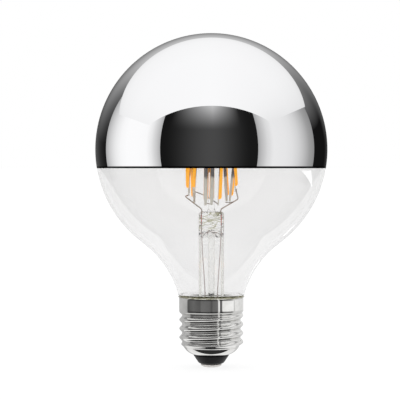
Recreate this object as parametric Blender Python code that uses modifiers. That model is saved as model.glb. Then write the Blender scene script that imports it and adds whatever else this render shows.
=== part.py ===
"""Globe lamp with a mirrored crown, a cage of LED filaments and a 27 mm screw cap.

Metres, +Z up. The lamp stands on its centre contact, with the lamp's axis on Z.
The view from -Y is the front: azimuth 0 is to the right (+X), 90 is the back (+Y).
"""
import math

import bmesh
import bpy
from mathutils import Matrix, Vector

MM = 0.001

# Overall
OVERALL_HEIGHT = 136.8 * MM
CLEARANCE = 0.3 * MM

# Glass envelope
GLOBE_RADIUS = 47.5 * MM
GLASS_WALL = 0.8 * MM
NECK_FILLET_RADIUS = 39.5 * MM
NECK_WAIST_RADIUS = 12.1 * MM
NECK_WAIST_BELOW_LIP = 9.746 * MM
NECK_DEPTH_IN_CAP = 11.8 * MM
NECK_SHOULDER_HEIGHT = 2.0 * MM
GLASS_LINE_ABOVE_CAP = 0.6 * MM
GLOBE_STEPS = 36

# Mirror coat
CROWN_EDGE_DROP = 7.7 * MM
CROWN_COAT = 0.2 * MM

# Screw cap
SKIRT_RADIUS = 13.2 * MM
LIP_RADIUS = 13.7 * MM
LIP_HEIGHT = 1.1 * MM
SKIRT_HEIGHT = 4.7 * MM
THREAD_HEIGHT = 15.0 * MM
THREAD_PITCH = 3.629 * MM
THREAD_CREST_RADIUS = 13.15 * MM
THREAD_ROOT_RADIUS = 12.0 * MM
THREAD_RUN_OUT = 1.8 * MM
THREAD_START_ANGLE = math.radians(141.0)
SHOULDER_HEIGHT = 3.1 * MM
SHOULDER_RADIUS = 11.3 * MM
SHELL_MOUTH_RADIUS = 7.2 * MM
SHELL_WALL = 0.3 * MM
SHELL_STEPS = 28
ROWS_PER_PITCH = 6

# Cement ring
CEMENT_HEIGHT = 4.2 * MM
CEMENT_BELOW_LIP = 0.8 * MM
CEMENT_FLARE = 0.24 * MM

# Insulator and centre contact
INSULATOR_RADIUS = 7.4 * MM
INSULATOR_FOOT_RADIUS = 5.0 * MM
INSULATOR_HEIGHT = 3.3 * MM
INSULATOR_PLUG_HEIGHT = 1.6 * MM
INSULATOR_BORE = 0.8 * MM
CONTACT_RADIUS = 4.3 * MM
CONTACT_FLAT_RADIUS = 1.8 * MM
CONTACT_HEIGHT = 1.2 * MM
CONTACT_STEPS = 16
INSULATOR_STEPS = 20

# Glass mount
STEM_RADIUS = 5.15 * MM
STEM_WALL = 0.65 * MM
STEM_HEIGHT_ABOVE_CAP = 34.8 * MM
FLARE_HEIGHT = 9.7 * MM
PRESS_HEIGHT = 7.4 * MM
PRESS_SQUEEZE = 0.36
PRESS_EASE = 4.0 * MM
STEM_STEPS = 16
EXHAUST_RADIUS = 1.4 * MM
EXHAUST_WALL = 0.5 * MM
EXHAUST_DROP = 1.5 * MM
EXHAUST_STEPS = 12
POST_RADIUS = 1.3 * MM
POST_BEAD_RADIUS = 2.2 * MM
POST_BEAD_HEIGHT = 3.6 * MM
POST_STEPS = 12

# Wires
LEAD_RADIUS = 0.2 * MM
ARM_RADIUS = 0.25 * MM
SUPPORT_RADIUS = 0.2 * MM
BRIDGE_SHARE_OF_ARM = 0.7
LEAD_SPREAD_IN_PRESS = 3.9 * MM
LEAD_SPREAD_IN_CAP = 2.4 * MM
SEAL_WIRE_LENGTH = 4.0 * MM
SEAL_WIRE_DEPTH = 1.3 * MM
ARM_RISE = 1.0 * MM
ARM_CORNER = 0.3 * MM
HOOK_OUT = 1.4 * MM
HOOK_FORWARD = 1.0 * MM
HOOK_DROP = 0.5 * MM
ELBOW_OUT = 0.7 * MM
ELBOW_DROP = 3.0 * MM
WIRE_OVERHANG = 0.6 * MM
POST_WIRE_RISE = 3.0 * MM
POST_WIRE_STEP = 0.8 * MM
HEAD_WIRE_CORNER = 1.0 * MM
HEAD_WIRE_DROP = 0.8 * MM
FOOT_WIRE_RISE = 0.6 * MM

# Filament cage
FOOT_RING_RADIUS = 10.0 * MM
HEAD_RING_RADIUS = 11.5 * MM
FILAMENT_LENGTH = 38.0 * MM
STRIP_WIDTH = 1.5 * MM
STRIP_THICKNESS = 0.4 * MM
TAB_WIDTH = 1.1 * MM
TAB_LENGTH = 2.6 * MM
PHOSPHOR_WIDTH = 1.8 * MM
PHOSPHOR_HEIGHT = 0.9 * MM
PHOSPHOR_SIDE = 0.3 * MM
PHOSPHOR_ARC_POINTS = 5
BOND_GAP = 0.15 * MM

# How far a foot stands above the press, by what carries it
RISE_ON_HOOK = 7.4 * MM
RISE_ON_LEFT_BRIDGE = 3.5 * MM
RISE_ON_HIGH_WIRE = 7.7 * MM
RISE_ON_LOW_WIRE = 2.8 * MM
RISE_ON_FRONT_WIRE = 3.0 * MM
RISE_ON_RIGHT_BRIDGE = 4.1 * MM
RISE_ON_RIGHT_ARM = 8.2 * MM

# Each row: foot azimuth, head azimuth, way it faces (degrees), foot above the press
FILAMENTS = (
    (157.0, 148.5, 150.0, RISE_ON_HOOK),
    (201.0, 232.0, 188.0, RISE_ON_HOOK),
    (225.0, 246.0, 210.0, RISE_ON_HIGH_WIRE),
    (134.4, 136.2, 135.0, RISE_ON_LEFT_BRIDGE),
    (256.0, 261.0, 85.0, RISE_ON_LOW_WIRE),
    (270.0, 275.0, 95.0, RISE_ON_FRONT_WIRE),
    (286.0, 293.0, 345.0, RISE_ON_LOW_WIRE),
    (50.0, 67.0, 45.0, RISE_ON_RIGHT_BRIDGE),
    (40.0, 2.0, 30.0, RISE_ON_RIGHT_BRIDGE),
    (352.0, 309.0, 350.0, RISE_ON_RIGHT_ARM),
)
HEAD_PAIRS = ((9, 8), (4, 1), (2, 3), (5, 6), (7, 10))
POST_FEET = (5, 6, 7, 3)

# Driver in the cap
BOARD_THICKNESS = 1.0 * MM
BOARD_HEIGHT = 12.0 * MM
BOARD_STEPS = 24
CAPACITOR_RADIUS = 2.1 * MM
CAPACITOR_LENGTH = 6.2 * MM
CAPACITOR_OFFSET = 5.4 * MM
RECTIFIER_SIZE = (4.8 * MM, 3.9 * MM, 2.4 * MM)
RECTIFIER_PLACE = (-4.6 * MM, 3.6 * MM)
CHIP_SIZE = (3.9 * MM, 4.9 * MM, 1.6 * MM)
CHIP_PLACE = (5.0 * MM, -3.4 * MM)
RESISTOR_RADIUS = 1.3 * MM
RESISTOR_LENGTH = 6.5 * MM
RESISTOR_PLACE = (4.6 * MM, 3.8 * MM)
FEED_WIRE_RADIUS = 0.25 * MM
FEED_WIRE_INSET = 2.1 * MM
FEED_WIRE_RISE = 1.2 * MM

# Levels worked out from the sizes above
INSULATOR_BOTTOM = CONTACT_HEIGHT + CLEARANCE
INSULATOR_TOP = INSULATOR_BOTTOM + INSULATOR_HEIGHT
SHELL_BOTTOM = INSULATOR_TOP + CLEARANCE
THREAD_BOTTOM = SHELL_BOTTOM + SHOULDER_HEIGHT
THREAD_TOP = THREAD_BOTTOM + THREAD_HEIGHT
SKIRT_TOP = THREAD_TOP + SKIRT_HEIGHT
CAP_TOP = SKIRT_TOP + LIP_HEIGHT

# The globe and the fillet below it reach from the neck's waist to the overall height
NECK_WAIST = CAP_TOP - NECK_WAIST_BELOW_LIP
FILLET_CENTRE_R = NECK_WAIST_RADIUS + NECK_FILLET_RADIUS
WAIST_DROP = math.sqrt((GLOBE_RADIUS + NECK_FILLET_RADIUS) ** 2 - FILLET_CENTRE_R ** 2)
UPRIGHT = (OVERALL_HEIGHT - NECK_WAIST) / (GLOBE_RADIUS + WAIST_DROP)
GLOBE_UPRIGHT_RADIUS = GLOBE_RADIUS * UPRIGHT
GLOBE_CENTRE = OVERALL_HEIGHT - GLOBE_UPRIGHT_RADIUS
CROWN_EDGE = GLOBE_CENTRE - CROWN_EDGE_DROP
GLASS_LINE = CAP_TOP + GLASS_LINE_ABOVE_CAP
NECK_BOTTOM = CAP_TOP - NECK_DEPTH_IN_CAP
PRESS_TOP = CAP_TOP + STEM_HEIGHT_ABOVE_CAP
PRESS_BOTTOM = PRESS_TOP - PRESS_HEIGHT
BOARD_TOP = BOARD_HEIGHT + BOARD_THICKNESS
NECK_RADIUS = THREAD_ROOT_RADIUS - SHELL_WALL - CLEARANCE
BOARD_RADIUS = THREAD_ROOT_RADIUS - SHELL_WALL - CLEARANCE
FLARE_RADIUS = NECK_RADIUS - GLASS_WALL - CLEARANCE


def clear_scene():
    for old in list(bpy.data.objects):
        bpy.data.objects.remove(old)


def new_collection(name):
    group = bpy.data.collections.new(name)
    bpy.context.scene.collection.children.link(group)
    return group


def material(name, colour, roughness, metallic=0.0, transmission=0.0):
    finish = bpy.data.materials.new(name)
    finish.use_nodes = True
    shader = finish.node_tree.nodes["Principled BSDF"]
    shader.inputs["Base Color"].default_value = (*colour, 1.0)
    shader.inputs["Roughness"].default_value = roughness
    shader.inputs["Metallic"].default_value = metallic
    shader.inputs["Transmission Weight"].default_value = transmission
    finish.diffuse_color = (*colour, 1.0)
    return finish


def place(name, data, finish, group, matrix=None):
    """Adds one named piece with its material."""
    piece = bpy.data.objects.new(name, data)
    group.objects.link(piece)
    if matrix is not None:
        piece.matrix_world = matrix
    if not data.materials:
        data.materials.append(finish)
    return piece


def arc(centre_r, centre_z, radius_r, radius_z, start, end, count):
    """Points (r, z) along an elliptical arc, both ends included."""
    points = []
    for i in range(count):
        angle = start + (end - start) * i / (count - 1)
        points.append((centre_r + radius_r * math.cos(angle), centre_z + radius_z * math.sin(angle)))
    return points


def smooth_step(value, low, high):
    share = min(1.0, max(0.0, (value - low) / (high - low)))
    return share * share * (3.0 - 2.0 * share)


def profile_mesh(name, profile, closed):
    """An outline of (r, z) points in the XZ plane, ready to be turned."""
    mesh = bpy.data.meshes.new(name)
    edges = [(i, i + 1) for i in range(len(profile) - 1)]
    if closed:
        edges.append((len(profile) - 1, 0))
    mesh.from_pydata([(r, 0.0, z) for r, z in profile], edges, [])
    return mesh


def turned(name, profile, steps, finish, group, closed=False, wall=0.0):
    """A piece turned about Z, its outline running down the outer side."""
    piece = place(name, profile_mesh(name, profile, closed), finish, group)
    screw = piece.modifiers.new("turn", "SCREW")
    screw.axis = "Z"
    screw.steps = steps
    screw.render_steps = steps
    screw.use_merge_vertices = True
    screw.merge_threshold = 0.000001
    screw.use_smooth_shade = True
    if wall:
        add_wall(piece, wall)
    return piece


def add_wall(piece, wall):
    """Thickens an open surface inwards."""
    shell = piece.modifiers.new("wall", "SOLIDIFY")
    shell.thickness = wall
    shell.offset = -1.0
    shell.use_even_offset = True


def to_mesh(piece):
    """Replaces a piece that has modifiers or is a curve by its evaluated mesh."""
    bpy.context.view_layer.update()
    evaluated = piece.evaluated_get(bpy.context.evaluated_depsgraph_get())
    mesh = bpy.data.meshes.new_from_object(evaluated)
    name = piece.name
    matrix = piece.matrix_world.copy()
    group = piece.users_collection[0]
    bpy.data.objects.remove(piece)
    shape = bmesh.new()
    shape.from_mesh(mesh)
    bmesh.ops.remove_doubles(shape, verts=shape.verts, dist=0.000001)
    shape.to_mesh(mesh)
    shape.free()
    solid = bpy.data.objects.new(name, mesh)
    group.objects.link(solid)
    solid.matrix_world = matrix
    return solid


def wire(name, route, radius, finish, group):
    """A round wire along straight runs."""
    curve = bpy.data.curves.new(name, "CURVE")
    curve.dimensions = "3D"
    curve.bevel_depth = radius
    curve.bevel_resolution = 2
    curve.use_fill_caps = True
    spline = curve.splines.new("POLY")
    spline.points.add(len(route) - 1)
    for point, place_at in zip(spline.points, route):
        point.co = (*place_at, 1.0)
    return place(name, curve, finish, group)


def soften(route, cut):
    """Replaces each inner corner of a route by two points, so that no bend is a sharp one."""
    points = [Vector(p) for p in route]
    softened = [points[0]]
    for before, corner, after in zip(points, points[1:], points[2:]):
        softened.append(corner + (before - corner).normalized() * cut)
        softened.append(corner + (after - corner).normalized() * cut)
    softened.append(points[-1])
    return softened


def flat_outline(name, points, thickness):
    """A 2D outline with a thickness, as curve data."""
    curve = bpy.data.curves.new(name, "CURVE")
    curve.dimensions = "2D"
    curve.fill_mode = "BOTH"
    curve.extrude = thickness / 2
    spline = curve.splines.new("POLY")
    spline.points.add(len(points) - 1)
    for point, (x, y) in zip(spline.points, points):
        point.co = (x, y, 0.0, 1.0)
    spline.use_cyclic_u = True
    return curve


def cage_point(radius, azimuth, height):
    angle = math.radians(azimuth)
    return Vector((radius * math.cos(angle), radius * math.sin(angle), height))


def upper_rows(depth, edge):
    """Profile of the upper globe, that deep under its skin, from the pole to a level edge."""
    radius = GLOBE_RADIUS - depth
    upright = GLOBE_UPRIGHT_RADIUS - depth
    edge_angle = math.asin((edge - GLOBE_CENTRE) / upright)
    pole = [(0.0, GLOBE_CENTRE + upright)]
    rows = arc(0.0, GLOBE_CENTRE, radius, upright, math.radians(80.0), 0.0, 7)
    return pole + rows + [(radius * math.cos(edge_angle), edge)]


def make_globe(group):
    """The blown envelope: globe, neck fillet and the straight neck inside the cap."""
    ledge = CROWN_EDGE - CLEARANCE
    tangent_angle = -math.atan2(WAIST_DROP, FILLET_CENTRE_R)
    fillet_rise = NECK_FILLET_RADIUS * UPRIGHT
    glass_line_angle = math.pi - math.asin((GLASS_LINE - NECK_WAIST) / fillet_rise)
    profile = upper_rows(CROWN_COAT + CLEARANCE, ledge)
    open_angle = math.asin((ledge - GLOBE_CENTRE) / GLOBE_UPRIGHT_RADIUS)
    profile += arc(0.0, GLOBE_CENTRE, GLOBE_RADIUS, GLOBE_UPRIGHT_RADIUS, open_angle, tangent_angle, 7)
    fillet = arc(FILLET_CENTRE_R, NECK_WAIST, NECK_FILLET_RADIUS, fillet_rise,
                 math.pi + tangent_angle, glass_line_angle, 6)
    profile += fillet[1:]
    profile.append((LIP_RADIUS - SHELL_WALL - 2 * CLEARANCE, CAP_TOP))
    profile.append((NECK_RADIUS, GLASS_LINE - NECK_SHOULDER_HEIGHT))
    profile.append((NECK_RADIUS, NECK_BOTTOM))
    glass = material("clear_glass", (0.86, 0.88, 0.88), 0.05, transmission=1.0)
    turned("glass_globe", profile, GLOBE_STEPS, glass, group, wall=GLASS_WALL)


def make_crown(group):
    """The mirror coat, flush with the open glass below its edge."""
    mirror = material("mirror_coat", (0.85, 0.85, 0.86), 0.03, metallic=1.0)
    profile = upper_rows(0.0, CROWN_EDGE)
    turned("mirror_crown", profile, GLOBE_STEPS, mirror, group, wall=CROWN_COAT)


def thread_radius(angle, height, plain_radius):
    """Outer radius where the right-hand thread is rolled into the plain cup."""
    phase = (height - THREAD_BOTTOM) / THREAD_PITCH - (angle - THREAD_START_ANGLE) / math.tau
    middle = (THREAD_CREST_RADIUS + THREAD_ROOT_RADIUS) / 2
    swing = (THREAD_CREST_RADIUS - THREAD_ROOT_RADIUS) / 2
    rolled = middle + swing * math.cos(math.tau * phase)
    run_in = smooth_step(height, THREAD_BOTTOM, THREAD_BOTTOM + THREAD_RUN_OUT)
    run_out = 1.0 - smooth_step(height, THREAD_TOP - THREAD_RUN_OUT, THREAD_TOP)
    share = run_in * run_out
    return plain_radius + (rolled - plain_radius) * share


def make_screw_shell(group):
    """A drawn cup with a flared lip, then the thread is rolled into it."""
    lip = arc(LIP_RADIUS, SKIRT_TOP, SKIRT_RADIUS - LIP_RADIUS, LIP_HEIGHT, math.pi / 2, 0.0, 4)
    rows = math.ceil(THREAD_HEIGHT / THREAD_PITCH * ROWS_PER_PITCH)
    profile = list(lip)
    for row in range(rows + 1):
        share = row / rows
        plain = SKIRT_RADIUS + (SHOULDER_RADIUS - SKIRT_RADIUS) * share
        profile.append((plain, THREAD_TOP - THREAD_HEIGHT * share))
    shoulder = arc(SHELL_MOUTH_RADIUS, THREAD_BOTTOM, SHOULDER_RADIUS - SHELL_MOUTH_RADIUS,
                   SHOULDER_HEIGHT, 0.0, -math.pi / 2, 6)
    profile += shoulder[1:]
    metal = material("nickel_plate", (0.72, 0.71, 0.69), 0.25, metallic=1.0)
    cup = to_mesh(turned("screw_shell", profile, SHELL_STEPS, metal, group))
    for vertex in cup.data.vertices:
        if THREAD_BOTTOM < vertex.co.z < THREAD_TOP:
            plain = math.hypot(vertex.co.x, vertex.co.y)
            angle = math.atan2(vertex.co.y, vertex.co.x)
            scale = thread_radius(angle, vertex.co.z, plain) / plain
            vertex.co.x *= scale
            vertex.co.y *= scale
    cup.data.shade_smooth()
    add_wall(cup, SHELL_WALL)


def make_cement(group):
    """The cement ring between the neck and the cap's skirt."""
    inner = NECK_RADIUS + CLEARANCE
    outer = SKIRT_RADIUS - SHELL_WALL - CLEARANCE
    top = CAP_TOP - CEMENT_BELOW_LIP
    bend = GLASS_LINE - NECK_SHOULDER_HEIGHT - CLEARANCE
    bottom = top - CEMENT_HEIGHT
    flared = outer + CEMENT_FLARE
    profile = [(flared, top), (outer, SKIRT_TOP - CLEARANCE), (outer, bottom), (inner, bottom),
               (inner, bend), (flared - 2 * CLEARANCE, top)]
    cement = material("basing_cement", (0.33, 0.34, 0.2), 0.8)
    turned("basing_cement", profile, INSULATOR_STEPS, cement, group, closed=True)


def make_insulator(group):
    plug = SHELL_MOUTH_RADIUS - SHELL_WALL - CLEARANCE
    plug_top = INSULATOR_TOP + INSULATOR_PLUG_HEIGHT
    profile = [(plug, plug_top), (plug, INSULATOR_TOP), (INSULATOR_RADIUS, INSULATOR_TOP),
               (INSULATOR_FOOT_RADIUS, INSULATOR_BOTTOM), (INSULATOR_BORE, INSULATOR_BOTTOM),
               (INSULATOR_BORE, plug_top)]
    black_glass = material("black_glass", (0.015, 0.014, 0.016), 0.15)
    turned("insulator", profile, INSULATOR_STEPS, black_glass, group, closed=True)


def make_contact(group):
    """The soldered button that the holder's tongue presses on."""
    round_edge = arc(CONTACT_FLAT_RADIUS, CONTACT_HEIGHT, CONTACT_RADIUS - CONTACT_FLAT_RADIUS,
                     CONTACT_HEIGHT, 0.0, -math.pi / 2, 6)
    profile = [(0.0, CONTACT_HEIGHT)] + round_edge + [(0.0, 0.0)]
    solder = material("solder", (0.7, 0.7, 0.7), 0.3, metallic=1.0)
    turned("centre_contact", profile, CONTACT_STEPS, solder, group)


def press_flat(mesh):
    """Pinches the top of the stem tube flat, front to back."""
    for vertex in mesh.vertices:
        share = smooth_step(vertex.co.z, PRESS_BOTTOM - PRESS_EASE, PRESS_BOTTOM)
        vertex.co.y *= 1.0 - (1.0 - PRESS_SQUEEZE) * share


def make_stem(group, cutters):
    """The flare tube: open flare in the neck, straight tube, and the press with two wire bores."""
    flare_reach = FLARE_RADIUS - STEM_RADIUS
    flare_top = NECK_BOTTOM + FLARE_HEIGHT
    outer = [(0.0, PRESS_TOP)]
    outer += arc(STEM_RADIUS - POST_RADIUS, PRESS_TOP - POST_RADIUS, POST_RADIUS, POST_RADIUS,
                 math.pi / 2, 0.0, 3)
    outer += [(STEM_RADIUS, PRESS_BOTTOM), (STEM_RADIUS, PRESS_BOTTOM - PRESS_EASE / 2),
              (STEM_RADIUS, PRESS_BOTTOM - PRESS_EASE)]
    outer += arc(FLARE_RADIUS, flare_top, -flare_reach, FLARE_HEIGHT, 0.0, -math.pi / 2, 6)
    bore = STEM_RADIUS - STEM_WALL
    inner = arc(FLARE_RADIUS, flare_top - STEM_WALL, -flare_reach - STEM_WALL,
                FLARE_HEIGHT, -math.pi / 2, 0.0, 6)
    inner += [(bore, PRESS_BOTTOM - PRESS_EASE), (bore, PRESS_BOTTOM - PRESS_EASE / 2),
              (0.0, PRESS_BOTTOM)]
    glass = material("stem_glass", (0.84, 0.86, 0.84), 0.05, transmission=1.0)
    stem = to_mesh(turned("stem_tube", outer + inner, STEM_STEPS, glass, group))
    press_flat(stem.data)
    stem.data.shade_smooth()
    bore_radius = LEAD_RADIUS + CLEARANCE
    bore_length = PRESS_HEIGHT + PRESS_EASE
    for side in (-1, 1):
        bpy.ops.mesh.primitive_cylinder_add(
            vertices=8, radius=bore_radius, depth=bore_length,
            location=(side * LEAD_SPREAD_IN_PRESS, 0.0, PRESS_TOP - bore_length / 2 + CLEARANCE))
        cutter = bpy.context.object
        cutter.name = "cutter_wire_bore"
        cutter.hide_render = True
        cutter.display_type = "WIRE"
        for group_now in cutter.users_collection:
            group_now.objects.unlink(cutter)
        cutters.objects.link(cutter)
        cut = stem.modifiers.new("wire_bore", "BOOLEAN")
        cut.operation = "DIFFERENCE"
        cut.object = cutter


def make_exhaust_tube(group):
    """The tube through which the lamp is pumped and filled, melted shut at its tip."""
    top = PRESS_BOTTOM - EXHAUST_DROP
    tip = NECK_BOTTOM - CLEARANCE
    inner = EXHAUST_RADIUS - EXHAUST_WALL
    profile = [(EXHAUST_RADIUS, top)]
    profile += arc(0.0, tip + 2 * EXHAUST_RADIUS, EXHAUST_RADIUS, 2 * EXHAUST_RADIUS,
                   0.0, -math.pi / 2, 5)
    profile += [(0.0, tip + 3 * EXHAUST_RADIUS), (inner, tip + 4 * EXHAUST_RADIUS), (inner, top)]
    glass = material("exhaust_glass", (0.84, 0.86, 0.84), 0.05, transmission=1.0)
    turned("exhaust_tube", profile, EXHAUST_STEPS, glass, group, closed=True)


def bead_centre():
    heads = [filament_ends(row)[1].z for row in FILAMENTS]
    return (min(heads) + max(heads)) / 2


def make_post(group):
    """The glass rod that carries the cage, with the bead that grips the head wires."""
    centre = bead_centre()
    top = centre + POST_BEAD_HEIGHT / 2
    bead = arc(0.0, centre, POST_BEAD_RADIUS, POST_BEAD_HEIGHT / 2, math.radians(60.0),
               math.radians(-50.0), 4)
    profile = [(0.0, top)] + bead
    profile += [(POST_RADIUS, centre - POST_BEAD_HEIGHT / 2), (POST_RADIUS, PRESS_TOP + CLEARANCE),
                (0.0, PRESS_TOP + CLEARANCE)]
    glass = material("post_glass", (0.84, 0.86, 0.84), 0.05, transmission=1.0)
    turned("glass_post", profile, POST_STEPS, glass, group)


def filament_ends(row):
    """Foot and head of a filament, the head as high as its length allows."""
    foot_azimuth, head_azimuth, _, rise = row
    foot = cage_point(FOOT_RING_RADIUS, foot_azimuth, PRESS_TOP + rise)
    head = cage_point(HEAD_RING_RADIUS, head_azimuth, foot.z)
    head.z += math.sqrt(FILAMENT_LENGTH ** 2 - (head - foot).length_squared)
    return foot, head


def filament_frame(row):
    """Foot point and the three directions of a filament: along it, facing out, and across."""
    foot, head = filament_ends(row)
    along = (head - foot).normalized()
    out = cage_point(1.0, row[2], 0.0)
    facing = (out - along * out.dot(along)).normalized()
    return foot, along, facing, along.cross(facing)


def axes_matrix(x_axis, y_axis, z_axis, origin):
    turn = Matrix((x_axis, y_axis, z_axis)).transposed()
    return Matrix.Translation(origin) @ turn.to_4x4()


def strip_outline():
    """A strip with a tapered tab at each end, from its foot at 0 up."""
    half = STRIP_WIDTH / 2
    tab = TAB_WIDTH / 2
    low = TAB_LENGTH - CLEARANCE
    right = [(tab, 0.0), (half, low), (half, FILAMENT_LENGTH - low), (tab, FILAMENT_LENGTH)]
    return right + [(-x, y) for x, y in reversed(right)]


def phosphor_outline():
    """Section of the phosphor bead: flat on the strip, domed on the outside."""
    flat = STRIP_THICKNESS / 2 + BOND_GAP
    half = PHOSPHOR_WIDTH / 2
    dome = arc(0.0, flat + PHOSPHOR_SIDE, half, PHOSPHOR_HEIGHT - PHOSPHOR_SIDE, 0.0, math.pi,
               PHOSPHOR_ARC_POINTS)
    return [(half, flat)] + dome + [(-half, flat)]


def make_filaments(group):
    """Ten strips, each with its phosphor bead; all strips share one outline."""
    strip_metal = material("strip_metal", (0.62, 0.61, 0.56), 0.35, metallic=0.6)
    phosphor = material("phosphor", (1.0, 0.42, 0.02), 0.5)
    strip = flat_outline("filament_strip", strip_outline(), STRIP_THICKNESS)
    bead_length = FILAMENT_LENGTH - 2 * TAB_LENGTH
    bead = flat_outline("filament_phosphor", phosphor_outline(), bead_length)
    for number, row in enumerate(FILAMENTS, start=1):
        foot, along, facing, across = filament_frame(row)
        place(f"filament_strip_{number}", strip, strip_metal, group,
              axes_matrix(across, along, facing, foot))
        middle = foot + along * (FILAMENT_LENGTH / 2)
        place(f"filament_phosphor_{number}", bead, phosphor, group,
              axes_matrix(-across, facing, along, middle))


def inside_tab(number, distance, radius):
    """A point beside a filament's tab, on the side of the lamp's axis, for a wire of that radius."""
    foot, along, facing, _ = filament_frame(FILAMENTS[number - 1])
    spot = foot + along * distance
    if facing.dot(Vector((spot.x, spot.y, 0.0))) > 0.0:
        facing = -facing
    return spot + facing * (STRIP_THICKNESS / 2 + CLEARANCE + radius)


def under_foot(number, radius):
    """A point just under a filament's foot."""
    return filament_ends(FILAMENTS[number - 1])[0] - Vector((0.0, 0.0, CLEARANCE + radius))


def make_head_wires(group, finish):
    """Wires that run from the head of one filament past the bead to the head of the next."""
    hub = POST_BEAD_RADIUS + CLEARANCE + SUPPORT_RADIUS
    for number, (first, second) in enumerate(HEAD_PAIRS, start=1):
        distance = FILAMENT_LENGTH - HEAD_WIRE_DROP
        start = inside_tab(first, distance, SUPPORT_RADIUS)
        end = inside_tab(second, distance, SUPPORT_RADIUS)
        towards = Vector((start.x + end.x, start.y + end.y, 0.0)).normalized()
        inner = towards * hub + Vector((0.0, 0.0, bead_centre()))
        route = soften((start, inner, end), HEAD_WIRE_CORNER)
        wire(f"head_wire_{number}", route, SUPPORT_RADIUS, finish, group)


def make_foot_wires(group, finish):
    """Wires from the glass post out to the feet that hang on it."""
    hub = POST_RADIUS + CLEARANCE + SUPPORT_RADIUS
    for number, filament in enumerate(POST_FEET, start=1):
        outer = inside_tab(filament, FOOT_WIRE_RISE, SUPPORT_RADIUS)
        inner = Vector((outer.x, outer.y, 0.0)).normalized() * hub
        inner.z = PRESS_TOP + POST_WIRE_RISE + (number - 1) * POST_WIRE_STEP
        wire(f"foot_wire_{number}", (inner, outer), SUPPORT_RADIUS, finish, group)


def make_arms(group, finish):
    """The stiff arms out of the press: the left one hooks under two feet, the right one turns up."""
    start_z = PRESS_TOP - SEAL_WIRE_DEPTH + CLEARANCE
    rise = PRESS_TOP + ARM_RISE
    left_front = under_foot(2, ARM_RADIUS)
    left_back = under_foot(1, ARM_RADIUS)
    hook = left_front + Vector((-HOOK_OUT, -HOOK_FORWARD, -HOOK_DROP))
    left = ((-LEAD_SPREAD_IN_PRESS, 0.0, start_z), (-LEAD_SPREAD_IN_PRESS, 0.0, rise), hook,
            left_front, left_back + (left_back - left_front).normalized() * WIRE_OVERHANG)
    wire("lead_arm_left", soften(left, ARM_CORNER), ARM_RADIUS, finish, group)
    foot, along, facing, _ = filament_frame(FILAMENTS[-1])
    seat = foot + facing * (STRIP_THICKNESS / 2 + CLEARANCE + ARM_RADIUS)
    elbow = seat + Vector((ELBOW_OUT, 0.0, -ELBOW_DROP))
    right = ((LEAD_SPREAD_IN_PRESS, 0.0, start_z), (LEAD_SPREAD_IN_PRESS, 0.0, rise), elbow,
             seat - along * WIRE_OVERHANG, seat + along * 2 * WIRE_OVERHANG)
    wire("lead_arm_right", soften(right, ARM_CORNER), ARM_RADIUS, finish, group)
    return Vector(left[1]), hook, Vector(right[1]), elbow


def make_foot_bridges(group, finish, arm_points):
    """Wires that hang the inner feet on the arms."""
    left_root, left_hook, right_root, right_elbow = arm_points
    gap = ARM_RADIUS + CLEARANCE + SUPPORT_RADIUS
    foot = under_foot(4, SUPPORT_RADIUS)
    share = (foot.x - left_root.x) / (left_hook.x - left_root.x)
    on_arm = left_root.lerp(left_hook, share) + Vector((0.0, gap, 0.0))
    beyond = foot + (foot - on_arm).normalized() * WIRE_OVERHANG
    wire("foot_bridge_left", (on_arm, beyond), SUPPORT_RADIUS, finish, group)
    first = under_foot(8, SUPPORT_RADIUS)
    second = under_foot(9, SUPPORT_RADIUS)
    on_arm = right_root.lerp(right_elbow, BRIDGE_SHARE_OF_ARM) + Vector((0.0, gap, 0.0))
    beyond = first + (first - second).normalized() * WIRE_OVERHANG
    wire("foot_bridge_right", (beyond, first, second, on_arm), SUPPORT_RADIUS, finish, group)


def make_leads(group):
    """Sealing wires in the press and the leads below them, down to the board."""
    copper = material("lead_wire", (0.46, 0.36, 0.3), 0.4, metallic=0.8)
    seal = material("seal_wire", (0.55, 0.09, 0.06), 0.4, metallic=0.5)
    seal_top = PRESS_TOP - SEAL_WIRE_DEPTH
    seal_bottom = seal_top - SEAL_WIRE_LENGTH
    lead_top = seal_bottom - CLEARANCE
    bend = PRESS_BOTTOM - PRESS_EASE
    for side, label in ((-1, "left"), (1, "right")):
        x_press = side * LEAD_SPREAD_IN_PRESS
        x_cap = side * LEAD_SPREAD_IN_CAP
        wire(f"seal_wire_{label}", ((x_press, 0.0, seal_top), (x_press, 0.0, seal_bottom)),
             LEAD_RADIUS, seal, group)
        wire(f"lead_wire_{label}", ((x_press, 0.0, lead_top), (x_press, 0.0, bend),
             (x_cap, 0.0, CAP_TOP), (x_cap, 0.0, BOARD_TOP + CLEARANCE)), LEAD_RADIUS, copper, group)


def lying_cylinder(name, radius, length, centre, finish, group):
    bpy.ops.mesh.primitive_cylinder_add(vertices=12, radius=radius, depth=length, location=centre,
                                        rotation=(math.pi / 2, 0.0, 0.0))
    piece = bpy.context.object
    adopt(piece, name, finish, group)
    piece.data.set_sharp_from_angle(angle=math.radians(40.0))
    return piece


def box(name, size, centre, finish, group):
    bpy.ops.mesh.primitive_cube_add(size=1.0, location=centre)
    piece = bpy.context.object
    piece.data.transform(Matrix.Diagonal((*size, 1.0)))
    adopt(piece, name, finish, group)
    return piece


def adopt(piece, name, finish, group):
    """Names a primitive and moves it to the part's collection."""
    piece.name = name
    piece.data.name = name
    piece.data.materials.append(finish)
    for old in piece.users_collection:
        old.objects.unlink(piece)
    group.objects.link(piece)


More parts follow.
